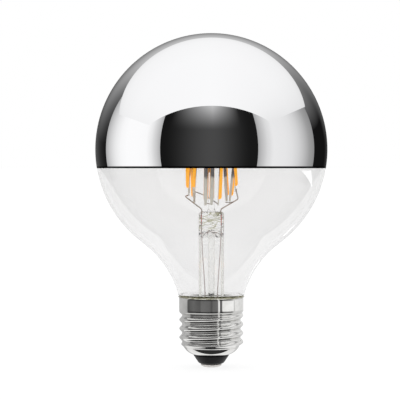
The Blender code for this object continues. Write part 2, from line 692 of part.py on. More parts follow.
def make_driver(group):
    """The round board in the cap, its parts, and the feeds to the shell and the contact."""
    board = material("circuit_board", (0.08, 0.25, 0.12), 0.5)
    profile = [(0.0, BOARD_TOP), (BOARD_RADIUS, BOARD_TOP), (BOARD_RADIUS, BOARD_HEIGHT),
               (0.0, BOARD_HEIGHT)]
    turned("driver_board", profile, BOARD_STEPS, board, group)
    black = material("component_black", (0.02, 0.02, 0.02), 0.4)
    under = BOARD_HEIGHT - CLEARANCE
    box("rectifier", RECTIFIER_SIZE, (*RECTIFIER_PLACE, under - RECTIFIER_SIZE[2] / 2), black, group)
    box("driver_chip", CHIP_SIZE, (*CHIP_PLACE, under - CHIP_SIZE[2] / 2), black, group)
    can = material("capacitor_can", (0.35, 0.35, 0.38), 0.35, metallic=0.7)
    lying_cylinder("capacitor", CAPACITOR_RADIUS, CAPACITOR_LENGTH,
                   (CAPACITOR_OFFSET, 0.0, BOARD_TOP + CLEARANCE + CAPACITOR_RADIUS), can, group)
    body = material("resistor_body", (0.1, 0.3, 0.25), 0.5)
    lying_cylinder("fuse_resistor", RESISTOR_RADIUS, RESISTOR_LENGTH,
                   (*RESISTOR_PLACE, under - RESISTOR_RADIUS), body, group)
    feed = material("feed_wire", (0.5, 0.45, 0.38), 0.4, metallic=0.8)
    shell_inside = THREAD_ROOT_RADIUS - SHELL_WALL - CLEARANCE - FEED_WIRE_RADIUS
    foot_x = BOARD_RADIUS - FEED_WIRE_INSET
    foot_z = BOARD_TOP + CLEARANCE
    wire("shell_feed_wire", ((-foot_x, 0.0, foot_z), (-foot_x, 0.0, foot_z + FEED_WIRE_RISE),
         (-shell_inside, 0.0, foot_z + 2 * FEED_WIRE_RISE)), FEED_WIRE_RADIUS, feed, group)
    wire("contact_feed_wire", ((0.0, 0.0, under), (0.0, 0.0, INSULATOR_BOTTOM)),
         FEED_WIRE_RADIUS, feed, group)


def main():
    clear_scene()
    parts = new_collection("globe_lamp")
    cutters = new_collection("cutters")
    make_globe(parts)
    make_crown(parts)
    make_screw_shell(parts)
    make_cement(parts)
    make_insulator(parts)
    make_contact(parts)
    make_stem(parts, cutters)
    make_exhaust_tube(parts)
    make_post(parts)
    make_leads(parts)
    make_filaments(parts)
    support = material("support_wire", (0.5, 0.46, 0.4), 0.35, metallic=0.8)
    make_head_wires(parts, support)
    make_foot_wires(parts, support)
    arm_points = make_arms(parts, support)
    make_foot_bridges(parts, support, arm_points)
    make_driver(parts)


main()
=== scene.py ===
"""Looks for the globe lamp: fine glass, mirror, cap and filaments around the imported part.

Metres, +Z up, in the part's own frame. The view from -Y is the front.
"""
import math

import bmesh
import bpy
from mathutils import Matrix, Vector, noise

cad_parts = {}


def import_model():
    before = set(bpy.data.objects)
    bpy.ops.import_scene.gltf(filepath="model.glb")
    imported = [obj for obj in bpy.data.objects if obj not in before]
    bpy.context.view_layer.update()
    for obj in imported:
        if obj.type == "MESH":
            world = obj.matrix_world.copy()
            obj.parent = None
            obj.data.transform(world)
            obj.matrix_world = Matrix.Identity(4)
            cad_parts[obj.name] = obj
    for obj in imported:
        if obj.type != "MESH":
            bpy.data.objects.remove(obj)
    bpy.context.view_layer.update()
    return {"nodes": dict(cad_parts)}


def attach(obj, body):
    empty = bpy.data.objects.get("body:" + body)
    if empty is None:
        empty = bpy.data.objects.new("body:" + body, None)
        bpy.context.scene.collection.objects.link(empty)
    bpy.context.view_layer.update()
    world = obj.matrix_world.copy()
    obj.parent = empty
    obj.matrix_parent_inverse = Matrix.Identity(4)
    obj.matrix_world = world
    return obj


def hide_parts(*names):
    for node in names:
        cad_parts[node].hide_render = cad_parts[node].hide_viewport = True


MM = 0.001

# Sizes of the part
OVERALL_HEIGHT = 136.8 * MM
CLEARANCE = 0.3 * MM
GLOBE_RADIUS = 47.5 * MM
GLASS_WALL = 0.8 * MM
NECK_FILLET_RADIUS = 39.5 * MM
NECK_WAIST_RADIUS = 12.1 * MM
NECK_DEPTH_IN_CAP = 11.8 * MM
NECK_SHOULDER_HEIGHT = 2.0 * MM
GLASS_LINE_ABOVE_CAP = 0.6 * MM
CROWN_EDGE_DROP = 7.7 * MM
SKIRT_RADIUS = 13.2 * MM
LIP_RADIUS = 13.7 * MM
LIP_HEIGHT = 1.1 * MM
SKIRT_HEIGHT = 4.7 * MM
THREAD_HEIGHT = 15.0 * MM
THREAD_PITCH = 3.629 * MM
THREAD_CREST_RADIUS = 13.15 * MM
THREAD_ROOT_RADIUS = 12.0 * MM
THREAD_RUN_OUT = 1.8 * MM
THREAD_START_ANGLE = math.radians(141.0)
SHOULDER_HEIGHT = 3.1 * MM
SHOULDER_RADIUS = 11.3 * MM
SHELL_MOUTH_RADIUS = 7.2 * MM
SHELL_WALL = 0.3 * MM
CEMENT_HEIGHT = 4.2 * MM
INSULATOR_RADIUS = 7.4 * MM
INSULATOR_FOOT_RADIUS = 5.0 * MM
INSULATOR_HEIGHT = 3.3 * MM
INSULATOR_PLUG_HEIGHT = 1.6 * MM
INSULATOR_BORE = 0.8 * MM
CONTACT_RADIUS = 4.3 * MM
CONTACT_FLAT_RADIUS = 1.8 * MM
CONTACT_HEIGHT = 1.2 * MM
STEM_RADIUS = 5.15 * MM
STEM_WALL = 0.65 * MM
STEM_HEIGHT_ABOVE_CAP = 34.8 * MM
FLARE_HEIGHT = 9.7 * MM
PRESS_HEIGHT = 7.4 * MM
PRESS_SQUEEZE = 0.36
PRESS_EASE = 4.0 * MM
EXHAUST_RADIUS = 1.4 * MM
EXHAUST_WALL = 0.5 * MM
EXHAUST_DROP = 1.5 * MM
POST_RADIUS = 1.3 * MM
POST_BEAD_RADIUS = 2.2 * MM
POST_BEAD_HEIGHT = 3.6 * MM
LEAD_RADIUS = 0.2 * MM
ARM_RADIUS = 0.25 * MM
SUPPORT_RADIUS = 0.2 * MM
BRIDGE_SHARE_OF_ARM = 0.7
LEAD_SPREAD_IN_PRESS = 3.9 * MM
LEAD_SPREAD_IN_CAP = 2.4 * MM
SEAL_WIRE_LENGTH = 4.0 * MM
SEAL_WIRE_DEPTH = 1.3 * MM
ARM_RISE = 1.0 * MM
HOOK_REACH = Vector((-1.4 * MM, -1.0 * MM, -0.5 * MM))
ELBOW_REACH = Vector((0.7 * MM, 0.0, -3.0 * MM))
WIRE_OVERHANG = 0.6 * MM
POST_WIRE_RISE = 3.0 * MM
POST_WIRE_STEP = 0.8 * MM
HEAD_WIRE_DROP = 0.8 * MM
FOOT_WIRE_RISE = 0.6 * MM
FOOT_RING_RADIUS = 10.0 * MM
HEAD_RING_RADIUS = 11.5 * MM
FILAMENT_LENGTH = 38.0 * MM
STRIP_THICKNESS = 0.4 * MM
TAB_LENGTH = 2.6 * MM
PHOSPHOR_WIDTH = 1.8 * MM
PHOSPHOR_HEIGHT = 0.9 * MM
PHOSPHOR_SIDE = 0.3 * MM

# Each row: foot azimuth, head azimuth, way it faces (degrees), foot above the press (mm)
FILAMENTS = (
    (157.0, 148.5, 150.0, 7.4),
    (201.0, 232.0, 188.0, 7.4),
    (225.0, 246.0, 210.0, 7.7),
    (134.4, 136.2, 135.0, 3.5),
    (256.0, 261.0, 85.0, 2.8),
    (270.0, 275.0, 95.0, 3.0),
    (286.0, 293.0, 345.0, 2.8),
    (50.0, 67.0, 45.0, 4.1),
    (40.0, 2.0, 30.0, 4.1),
    (352.0, 309.0, 350.0, 8.2),
)
HEAD_PAIRS = ((9, 8), (4, 1), (2, 3), (5, 6), (7, 10))
POST_FEET = (5, 6, 7, 3)

# Levels worked out from the sizes above
INSULATOR_BOTTOM = CONTACT_HEIGHT + CLEARANCE
INSULATOR_TOP = INSULATOR_BOTTOM + INSULATOR_HEIGHT
SHELL_BOTTOM = INSULATOR_TOP + CLEARANCE
THREAD_BOTTOM = SHELL_BOTTOM + SHOULDER_HEIGHT
THREAD_TOP = THREAD_BOTTOM + THREAD_HEIGHT
SKIRT_TOP = THREAD_TOP + SKIRT_HEIGHT
CAP_TOP = SKIRT_TOP + LIP_HEIGHT
GLOBE_CENTRE = OVERALL_HEIGHT - GLOBE_RADIUS
CROWN_EDGE = GLOBE_CENTRE - CROWN_EDGE_DROP
GLASS_LINE = CAP_TOP + GLASS_LINE_ABOVE_CAP
NECK_BOTTOM = CAP_TOP - NECK_DEPTH_IN_CAP
PRESS_TOP = CAP_TOP + STEM_HEIGHT_ABOVE_CAP
PRESS_BOTTOM = PRESS_TOP - PRESS_HEIGHT
BOARD_TOP = 13.0 * MM
NECK_RADIUS = THREAD_ROOT_RADIUS - SHELL_WALL - CLEARANCE
FLARE_RADIUS = NECK_RADIUS - GLASS_WALL - CLEARANCE

# Fineness of the meshes
TURN_STEPS = 256
CAP_STEPS = 240
INSULATOR_STEPS = 120
CONTACT_STEPS = 96
STEM_STEPS = 144
ROD_STEPS = 48
SKIRT_ROWS = 8
THREAD_ROWS = 110
STEM_ROWS = 92
BEAD_STATIONS = 44

# Shapes that only the looks have
COAT_SKIN = 0.04 * MM
SKIN_GAP = 0.01 * MM
POLE_ANGLE = math.radians(88.0)
EDGE_BAND = 0.8 * MM
SHOULDER_FLATNESS = 0.55
CREST_SHARPNESS = 1.08
CEMENT_GAP = 0.02 * MM
CEMENT_SINK = 0.08 * MM
CEMENT_RISE = 0.45 * MM
CEMENT_DIP = 0.35 * MM
CEMENT_FALL_BACK = 0.055
LIP_STAIN = 0.45 * MM
STAIN_TOP = CAP_TOP - 0.05 * MM
STAIN_SLOPE = 0.075
MOUNT_GLASS_IOR = 1.38
# Height above which the strips are painted dark as the mirror crown's shadow
STRIP_PAINTED_SHADOW_ABOVE = 77.9 * MM
JAW_MARKS = (1.3 * MM, 2.6 * MM, 4.6 * MM, 6.0 * MM)
JAW_MARK_DEPTH = 0.34 * MM
JAW_MARK_WIDTH = 0.3 * MM
BORE_END_WAVE = 2.4 * MM
PRESS_TOP_WAVE = 0.35 * MM
PRESS_TOP_DEPTH = 1.4 * MM

# Share of the radius, and depth below the top of the exhaust tube
TUBE_MOUTH = ((1.25, 0.0), (1.05, 1.0 * MM), (1.0, 2.0 * MM))

# Share of the radius, and height above the foot of the post
POST_FOOT = ((1.0, 1.6 * MM), (1.05, 1.0 * MM), (1.2, 0.4 * MM), (1.4, 0.0))

# Distance from a strip's end and half its width there (mm), then its section as shares of half sizes
STRIP_STATIONS = ((0.0, 0.42), (0.2, 0.5), (1.5, 0.55), (2.1, 0.64), (2.5, 0.8))
STRIP_SECTION = ((1, -0.6), (0.85, -1), (-0.85, -1), (-1, -0.6), (-1, 0.6), (-0.85, 1), (0.85, 1), (1, 0.6))

# Camera
PICTURE_PIXELS = 400
METRES_PER_PIXEL = 0.4102 * MM
CAMERA_DISTANCE = 0.7
AXIS_COLUMN = 211.3
FOOT_ROW = 367.2
SENSOR_WIDTH = 36.0

# Studio around the lamp
CEILING_HEIGHT = 0.6
CEILING_LEFT = -1.33
CEILING_RIGHT = 1.11
CEILING_FRONT = -0.59
CEILING_BACK_LEFT = 0.56
CEILING_BACK_RIGHT = 0.68
PANEL_FOOT = -0.32
PANEL_TOP = 1.3
LEFT_PANEL_BACK = 0.96
RIGHT_PANEL_BACK = 0.62
RING_RADIUS = 0.06
RING_LOW = -0.02
RING_MIDDLE = 0.0185
RING_HIGH = 0.062
RING_STEPS = 72
FOOT_SHADE_HEIGHT = 3.0 * MM
FOOT_SHADE_INNER = 7.6 * MM
FOOT_SHADE_OUTER = 14.0 * MM
FOOT_SHADE_SPREAD = math.radians(65.0)
FOOT_SHADE_STEPS = 30
FOOT_SHADE_LEVEL = 0.03
GLASS_SURROUND = 0.9
DARK_FIELD_EDGE = 0.72
DARK_FIELD_FOOT = -0.5
GLINT_DISTANCE = 0.3
FLOOR_REACH = 200.0

# Level of the ceiling from left to right and from front to back, as shares of its size
CEILING_ACROSS = ((0.0, 0.96), (0.3, 1.0), (0.55, 1.02), (0.75, 0.97), (1.0, 0.86))
CEILING_BACKWARDS = ((0.0, 1.0), (0.5, 1.0), (0.8, 0.965), (0.93, 0.92), (1.0, 0.86))

# Level of the side panels by depth, and of their front returns by distance from the inner end
LEFT_PANEL = ((CEILING_FRONT, 1.02), (-0.3, 1.04), (0.0, 1.04), (0.2, 1.0), (0.42, 0.87), (0.72, 0.62),
              (LEFT_PANEL_BACK, 0.42))
RIGHT_PANEL = ((CEILING_FRONT, 0.87), (-0.3, 0.85), (-0.12, 0.8), (0.05, 0.69), (0.2, 0.55), (0.4, 0.36),
               (RIGHT_PANEL_BACK, 0.27))
LEFT_RETURN = ((0.0, 0.46), (0.1, 0.62), (0.32, 0.87), (0.5, 0.97), (0.63, 1.02))
RIGHT_RETURN = ((0.0, 0.4), (0.08, 0.53), (0.25, 0.73), (0.45, 0.84), (0.53, 0.87))

# Light round the skirt by azimuth from the front in degrees, and by share of the ring's height
SKIRT_LIGHT = (
    (-180.0, 0.55), (-110.0, 0.56), (-89.0, 0.5), (-84.0, 0.1), (-60.0, 0.17), (-36.0, 0.12), (-32.0, 0.18),
    (-6.0, 0.16), (0.0, 0.1), (5.0, 0.16), (20.0, 0.18), (22.5, 0.7), (24.5, 1.5), (26.5, 0.7), (28.5, 0.12),
    (33.5, 0.11), (36.5, 1.02), (79.0, 1.02), (81.0, 0.45), (84.0, 0.95), (180.0, 0.75),
)
SKIRT_LIGHT_BAND = ((0.0, 1.0), (0.6, 1.0), (0.8, 0.55), (1.0, 0.55))

# The same below the skirt, where the thread looks
THREAD_LIGHT = (
    (-180.0, 0.55), (-110.0, 0.56), (-89.0, 0.5), (-84.0, 0.08), (-60.0, 0.09), (-36.0, 0.05), (-32.0, 0.07),
    (-6.0, 0.06), (0.0, 0.035), (5.0, 0.06), (20.0, 0.07), (22.5, 0.5), (24.5, 1.1), (26.5, 0.5),
    (28.5, 0.05), (36.0, 0.05), (40.0, 0.22), (74.0, 0.26), (79.0, 0.68), (84.0, 0.78), (180.0, 0.7),
)
THREAD_LIGHT_BAND = ((0.0, 0.9), (1.0, 1.0))

# Highlights on the glass: level, place (mm), and corners as azimuth and elevation (degrees)
GLINTS = (
    ("window", 3.4, (37.0, -27.0, 79.0), ((101.0, -12.5), (120.0, -9.5), (134.0, -15.5))),
    ("streak", 2.6, (31.0, -14.4, 56.5), ((158.5, -23.8), (153.0, -20.8), (154.5, -19.8), (160.0, -22.2))),
)


# Curves
def arc(centre_r, centre_z, radius_r, radius_z, start, end, count):
    """Points (r, z) along an elliptical arc, both ends included."""
    angles = [start + (end - start) * i / (count - 1) for i in range(count)]
    return [(centre_r + radius_r * math.cos(a), centre_z + radius_z * math.sin(a)) for a in angles]


def bend(start, corner, end, count):
    """Points from start to end on a curve drawn towards the corner."""
    shares = [k / (count - 1) for k in range(count)]
    return [start * (1 - t) ** 2 + corner * 2 * t * (1 - t) + end * t ** 2 for t in shares]


def round_corner(before, corner, after, cut, count):
    """Points that take a corner in a curve, from cut before it to cut after it."""
    start = corner + (before - corner).normalized() * cut
    end = corner + (after - corner).normalized() * cut
    return bend(start, corner, end, count)


def slope(start, end, rows):
    """Evenly spaced points (r, z) from start to end, without the start."""
    r, z = start
    shares = [row / rows for row in range(1, rows + 1)]
    return [(r + (end[0] - r) * t, z + (end[1] - z) * t) for t in shares]


def around(radius, angle, z):
    return Vector((radius * math.cos(angle), radius * math.sin(angle), z))


def smooth_step(value, low, high):
    share = min(1.0, max(0.0, (value - low) / (high - low)))
    return share * share * (3.0 - 2.0 * share)


def ripple(x, y, z, scale, size):
    return size * noise.noise(Vector((x, y, z)) * scale)


# Node materials
class Nodes:
    """Short names for the nodes that repeat; an input takes a value or another node's output."""

    def __init__(self, tree):
        self.tree = tree

    def join(self, value, socket):
        if isinstance(value, bpy.types.NodeSocket):
            self.tree.links.new(value, socket)
        elif socket.type == "RGBA":
            socket.default_value = (*value, 1.0)
        else:
            socket.default_value = value

    def node(self, kind, *inputs):
        made = self.tree.nodes.new("ShaderNode" + kind)
        for name, value in inputs:
            self.join(value, made.inputs[name])
        return made

    def split(self, source):
        return self.node("SeparateXYZ", ("Vector", source)).outputs

    def math(self, operation, *values):
        """An operation's result, from left to right where it has more than two values."""
        while len(values) > 2:
            values = (self.math(operation, *values[:2]), *values[2:])
        made = self.node("Math", *enumerate(values))
        made.operation = operation
        return made.outputs["Value"]

    def times(self, *values):
        return self.math("MULTIPLY", *values)

    def line(self, source, start, end, low=0.0, high=1.0, kind="LINEAR"):
        """Goes from low to high while the source goes from start to end."""
        made = self.node("MapRange", ("Value", source), ("From Min", start), ("From Max", end),
                         ("To Min", low), ("To Max", high))
        made.interpolation_type = kind
        return made.outputs["Result"]

    def step(self, source, start, end, low=0.0, high=1.0):
        return self.line(source, start, end, low, high, "SMOOTHSTEP")

    def ramp(self, source, *stops):
        """Colours or grey levels at their positions along the source."""
        made = self.node("ValToRGB", ("Fac", source))
        band = made.color_ramp
        while len(band.elements) < len(stops):
            band.elements.new(0.5)
        for element, (position, tone) in zip(band.elements, stops):
            colour = tone if isinstance(tone, tuple) else (tone, tone, tone)
            element.position = position
            element.color = (*colour, 1.0)
        return made.outputs["Color"]

    def mix(self, share, first, second, blend="MIX"):
        made = self.node("MixRGB", ("Fac", share), ("Color1", first), ("Color2", second))
        made.blend_type = blend
        return made.outputs["Color"]


class Look(Nodes):
    """A surface whose textures stay with the lamp."""

    def __init__(self, name, colour, roughness, metallic=0.0, transmission=0.0, ior=1.5):
        self.material = bpy.data.materials.new(name)
        self.material.use_nodes = True
        super().__init__(self.material.node_tree)
        self.shader = self.tree.nodes["Principled BSDF"]
        self.place = self.node("TexCoord").outputs["Object"]
        self.set("Base Color", colour)
        self.set("Roughness", roughness)
        self.set("Metallic", metallic)
        self.set("Transmission Weight", transmission)
        self.set("IOR", ior)

    def set(self, socket, value):
        self.join(value, self.shader.inputs[socket])

    def noise(self, scale, detail=3.0, stretch=(1.0, 1.0, 1.0)):
        place = self.node("Mapping", ("Vector", self.place), ("Scale", stretch)).outputs["Vector"]
        return self.node("TexNoise", ("Vector", place), ("Scale", scale), ("Detail", detail)).outputs["Fac"]

    def vary(self, source, low, high):
        """Spreads a noise over a range."""
        return self.line(source, 0.3, 0.7, low, high)

    def height(self, *offsets):
        """Height in the lamp, with the offsets added."""
        level = self.split(self.place)["Z"]
        return self.math("ADD", level, *offsets) if offsets else level

    def facing(self):
        return self.node("LayerWeight", ("Blend", 0.5)).outputs["Facing"]

    def bump(self, source, strength, distance):
        made = self.node("Bump", ("Height", source), ("Strength", strength), ("Distance", distance))
        self.set("Normal", made.outputs["Normal"])


def globe_glass_look():
    """Blown clear glass, a little greyer at the neck, with painted shade where it faces the viewer higher up,
    and stained by the cement at its end.
    """
    look = Look("clear_glass", (0.93, 0.928, 0.928), 0.0, transmission=1.0)
    clear = look.ramp(look.noise(30.0, 2.0), (0.3, (0.93, 0.928, 0.928)), (0.7, (0.944, 0.942, 0.942)))
    neck = look.line(look.height(), CAP_TOP, CAP_TOP + 22.0 * MM, 0.955, 1.0)
    clear = look.mix(1.0, clear, neck, "MULTIPLY")
    # Painted shade: higher up, the glass is tinted a little darker where it faces the viewer.
    front = look.ramp(look.facing(), (0.05, (0.955, 0.953, 0.951)), (0.4, 1.0))
    upper = look.line(look.height(), CAP_TOP + 20.0 * MM, CAP_TOP + 32.0 * MM)
    clear = look.mix(upper, clear, front, "MULTIPLY")
    stain = look.ramp(look.noise(420.0), (0.38, (0.22, 0.22, 0.12)), (0.5, (0.5, 0.5, 0.4)),
                      (0.62, (0.85, 0.84, 0.79)))
    fall = look.times(look.split(look.place)["Y"], STAIN_SLOPE)
    level = look.height(fall, look.vary(look.noise(500.0), -0.25 * MM, 0.25 * MM))
    stained = look.line(level, STAIN_TOP - 0.15 * MM, STAIN_TOP + 0.15 * MM, 1.0, 0.0)
    look.set("Base Color", look.mix(stained, clear, stain))
    return look.material


def mount_glass_look():
    """Clear drawn glass, with the wavering olive lines of the pinched press."""
    look = Look("mount_glass", (0.99, 0.99, 0.985), 0.0, transmission=1.0, ior=MOUNT_GLASS_IOR)
    tone = look.ramp(look.facing(), (0.42, (1.0, 1.0, 0.995)), (0.6, (0.76, 0.755, 0.7)),
                     (0.82, (0.34, 0.33, 0.27)))
    olive = (0.36, 0.35, 0.18)
    swirl = look.noise(230.0, 1.0, stretch=(0.5, 0.3, 1.5))
    lines = look.ramp(swirl, (0.385, 1.0), (0.42, olive), (0.455, 1.0), (0.52, 1.0), (0.555, olive),
                      (0.59, 1.0))
    above = look.line(look.height(), PRESS_BOTTOM - 0.4 * MM, PRESS_BOTTOM + 0.4 * MM)
    below = look.line(look.height(), PRESS_TOP - 0.2 * MM, PRESS_TOP + 0.1 * MM, 1.0, 0.0)
    look.set("Base Color", look.mix(look.times(above, below), tone, lines, "MULTIPLY"))
    return look.material


def strip_look():
    """Plated steel strip, paler at its feet, with the mirror crown's shadow painted dark on its upper part.
    """
    look = Look("strip_metal", (0.7, 0.68, 0.6), 0.3, metallic=0.05)
    level = look.height(look.vary(look.noise(350.0), -0.7 * MM, 0.7 * MM))
    # Painted shadow: above this height the strip takes the dark tone, for the mirror crown's shade.
    shade = look.line(level, STRIP_PAINTED_SHADOW_ABOVE - 0.6 * MM, STRIP_PAINTED_SHADOW_ABOVE + 0.6 * MM)
    fine = look.noise(1200.0, stretch=(1.0, 1.0, 0.2))
    pale = look.ramp(fine, (0.3, (0.84, 0.8, 0.68)), (0.7, (0.98, 0.95, 0.86)))
    dark = look.ramp(fine, (0.3, (0.07, 0.062, 0.065)), (0.7, (0.19, 0.17, 0.17)))
    look.set("Base Color", look.mix(shade, pale, dark))
    look.set("Roughness", look.vary(fine, 0.22, 0.4))
    look.bump(look.noise(1500.0), 0.3, 0.01 * MM)
    return look.material


def mirror_look():
    """Bright mirror coat, dark in a narrow line along its edge."""
    look = Look("mirror_coat", (0.93, 0.93, 0.94), 0.015, metallic=1.0)
    level = look.line(look.height(), CROWN_EDGE + EDGE_BAND * 0.93, CROWN_EDGE + EDGE_BAND)
    look.set("Base Color", look.ramp(level, (0.0, (0.012, 0.012, 0.013)), (1.0, (0.93, 0.93, 0.94))))
    look.set("Roughness", look.vary(look.noise(60.0, 2.0), 0.008, 0.025))
    look.bump(look.noise(35.0, 1.0), 0.4, 0.02 * MM)
    return look.material


def cap_look():
    """Bright nickel plate with fine rolling marks, dulled to olive by the cement along its lip."""
    look = Look("nickel_plate", (0.78, 0.775, 0.76), 0.13, metallic=1.0)
    marks = look.noise(900.0, 4.0, stretch=(0.25, 0.25, 2.0))
    bright = look.ramp(look.noise(260.0), (0.3, (0.72, 0.715, 0.7)), (0.7, (0.85, 0.845, 0.83)))
    dull = look.ramp(look.noise(420.0), (0.38, (0.26, 0.25, 0.16)), (0.62, (0.62, 0.61, 0.54)))
    level = look.height(look.vary(look.noise(600.0), -0.12 * MM, 0.12 * MM))
    share = look.line(level, CAP_TOP - LIP_STAIN, CAP_TOP - LIP_STAIN * 0.5)
    look.set("Base Color", look.mix(share, bright, dull))
    look.set("Roughness", look.vary(marks, 0.03, 0.07))
    look.bump(look.noise(500.0, 2.0, stretch=(1.0, 1.0, 1.6)), 0.06, 0.02 * MM)
    return look.material


def cement_look():
    look = Look("basing_cement", (0.36, 0.37, 0.24), 0.75)
    tone = look.ramp(look.noise(380.0, 4.0), (0.36, (0.52, 0.5, 0.3)), (0.5, (0.8, 0.78, 0.62)),
                     (0.64, (0.98, 0.97, 0.9)))
    look.set("Base Color", tone)
    look.set("Roughness", look.vary(look.noise(900.0), 0.6, 0.9))
    look.bump(look.noise(1500.0), 0.6, 0.08 * MM)
    return look.material


def plain_look(name, light, dark, roughness, metallic, scale, bump, shine=0.5):
    """A finish that varies gently between two tones, with its bump in millimetres."""
    look = Look(name, light, roughness, metallic=metallic)
    look.set("Specular IOR Level", shine)
    look.set("Base Color", look.ramp(look.noise(scale), (0.3, dark), (0.7, light)))
    look.set("Roughness", look.vary(look.noise(scale * 2.0), roughness * 0.75, min(1.0, roughness * 1.3)))
    look.bump(look.noise(scale * 3.0), 0.5, bump * MM)
    return look.material


def phosphor_painted_glow_look():
    """Yellow-orange silicone with phosphor, satin, with a painted glow in its own colour that keeps it bright
    in shade.
    """
    look = Look("phosphor", (1.0, 0.4, 0.004), 0.5)
    look.set("Specular IOR Level", 0.04)
    look.set("Base Color", look.ramp(look.noise(500.0), (0.3, (0.95, 0.4, 0.002)), (0.7, (1.0, 0.47, 0.004))))
    # Painted glow: the emission lights the bead evenly, in shade as well as in light.
    look.set("Emission Color", (1.0, 0.42, 0.002))
    look.set("Emission Strength", 0.61)
    look.bump(look.noise(1500.0), 0.3, 0.02 * MM)
    return look.material


# Meshes
def finish_piece(piece, material, node, angle=35.0):
    """Smooths a mesh except at its sharp edges, and puts it in the place of a solid."""
    piece.data.materials.append(material)
    piece.data.shade_smooth()
    piece.data.set_sharp_from_angle(angle=math.radians(angle))
    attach(piece, "root")
    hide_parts(node)


def finish_glass(piece, material, node):
    piece.visible_shadow = False
    finish_piece(piece, material, node, angle=60.0)


def add_object(name, data):
    piece = bpy.data.objects.new(name, data)
    bpy.context.scene.collection.objects.link(piece)
    return piece


def mesh_object(name, vertices, faces):
    mesh = bpy.data.meshes.new(name)
    mesh.from_pydata(vertices, [], faces)
    mesh.update()
    return add_object(name, mesh)


def fix_normals(mesh, weld=0.0):
    """Turns every face outwards, after joining points that are closer than weld."""
    shape = bmesh.new()
    shape.from_mesh(mesh)
    if weld:
        bmesh.ops.remove_doubles(shape, verts=shape.verts, dist=weld)
    bmesh.ops.recalc_face_normals(shape, faces=shape.faces)
    shape.to_mesh(mesh)
    shape.free()


def turned_mesh(name, profile, steps, closed=False, shape=None):
    """Turns (r, z) points about Z; shape(r, angle, z) may move a point's radius."""
    vertices = []
    rings = []
    for r, z in profile:
        if r < 1e-9:
            rings.append([len(vertices)] * steps)
            vertices.append((0.0, 0.0, z))
            continue
        rings.append(range(len(vertices), len(vertices) + steps))
        for step in range(steps):
            angle = math.tau * step / steps
            radius = shape(r, angle, z) if shape else r
            vertices.append(around(radius, angle, z))
    faces = []
    pairs = list(zip(rings, rings[1:]))
    if closed:
        pairs.append((rings[-1], rings[0]))
    for upper, lower in pairs:
        for step in range(steps):
            after = (step + 1) % steps
            face = list(dict.fromkeys((upper[step], lower[step], lower[after], upper[after])))
            if len(face) > 2:
                faces.append(face)
    return mesh_object(name, vertices, faces)


def smooth_route(route, cut):
    """A route with each inner corner rounded over the length cut."""
    spots = [Vector(p) for p in route]
    result = [spots[0]]
    for before, corner, after in zip(spots, spots[1:], spots[2:]):
        reach = min(cut, (before - corner).length * 0.45, (after - corner).length * 0.45)
        result += round_corner(before, corner, after, reach, 6)
    result.append(spots[-1])
    return result


def wire(name, route, radius, cut, material, node):
    """A round wire as a fine mesh with closed ends."""
    path = smooth_route(route, cut)
    curve = bpy.data.curves.new(name, "CURVE")
    curve.dimensions = "3D"
    curve.bevel_depth = radius
    curve.bevel_resolution = 5
    curve.use_fill_caps = True
    spline = curve.splines.new("POLY")
    spline.points.add(len(path) - 1)
    for point, spot in zip(spline.points, path):
        point.co = (*spot, 1.0)
    temporary = add_object(name + "_curve", curve)
    bpy.context.view_layer.update()
    mesh = bpy.data.meshes.new_from_object(temporary.evaluated_get(bpy.context.evaluated_depsgraph_get()))
    bpy.data.objects.remove(temporary)
    fix_normals(mesh, weld=1e-7)
    mesh.name = name
    finish_piece(add_object(name, mesh), material, node, angle=50.0)


# Glass and mirror
def globe_profile():
    """Outer profile of the envelope from its pole down to the end of the neck."""
    fillet_r = NECK_WAIST_RADIUS + NECK_FILLET_RADIUS
    fillet_drop = math.sqrt((GLOBE_RADIUS + NECK_FILLET_RADIUS) ** 2 - fillet_r ** 2)
    fillet_z = GLOBE_CENTRE - fillet_drop
    tangent_angle = -math.atan2(fillet_drop, fillet_r)
    glass_line_angle = math.pi - math.asin((GLASS_LINE - fillet_z) / NECK_FILLET_RADIUS)
    skin = GLOBE_RADIUS - COAT_SKIN - SKIN_GAP
    profile = [(0.0, GLOBE_CENTRE + skin)]
    profile += arc(0.0, GLOBE_CENTRE, skin, skin, POLE_ANGLE, tangent_angle, 100)
    profile += arc(fillet_r, fillet_z, NECK_FILLET_RADIUS, NECK_FILLET_RADIUS,
                   math.pi + tangent_angle, glass_line_angle, 40)[1:]
    low = Vector((NECK_RADIUS, GLASS_LINE - NECK_SHOULDER_HEIGHT))
    corner = Vector((NECK_RADIUS + 0.55 * MM, GLASS_LINE - NECK_SHOULDER_HEIGHT * 0.55))
    profile += bend(Vector(profile[-1]), corner, low, 9)[1:]
    profile.append((NECK_RADIUS, NECK_BOTTOM))
    return profile


def offset_profile(profile, distance):
    """The same outline moved inwards by a wall."""
    moved = []
    for i, point in enumerate(profile):
        before = Vector(profile[max(0, i - 1)])
        after = Vector(profile[min(len(profile) - 1, i + 1)])
        along = (after - before).normalized()
        spot = Vector(point) + Vector((along.y, -along.x)) * distance
        moved.append((max(0.0, spot.x), spot.y))
    moved[0] = (0.0, profile[0][1] - distance)
    return moved


def make_globe():
    outer = globe_profile()
    inner = offset_profile(outer, GLASS_WALL)
    globe = turned_mesh("clear_globe", outer + inner[::-1], TURN_STEPS)
    finish_glass(globe, globe_glass_look(), "glass_globe")


def make_crown():
    edge_angle = math.asin((CROWN_EDGE - GLOBE_CENTRE) / GLOBE_RADIUS)
    skin = GLOBE_RADIUS - COAT_SKIN
    profile = [(0.0, OVERALL_HEIGHT)]
    profile += arc(0.0, GLOBE_CENTRE, GLOBE_RADIUS, GLOBE_RADIUS, POLE_ANGLE, edge_angle, 80)
    profile += arc(0.0, GLOBE_CENTRE, skin, skin, edge_angle, POLE_ANGLE, 80)
    profile.append((0.0, GLOBE_CENTRE + skin))
    crown = turned_mesh("mirror_dome", profile, TURN_STEPS)
    finish_piece(crown, mirror_look(), "mirror_crown", angle=50.0)


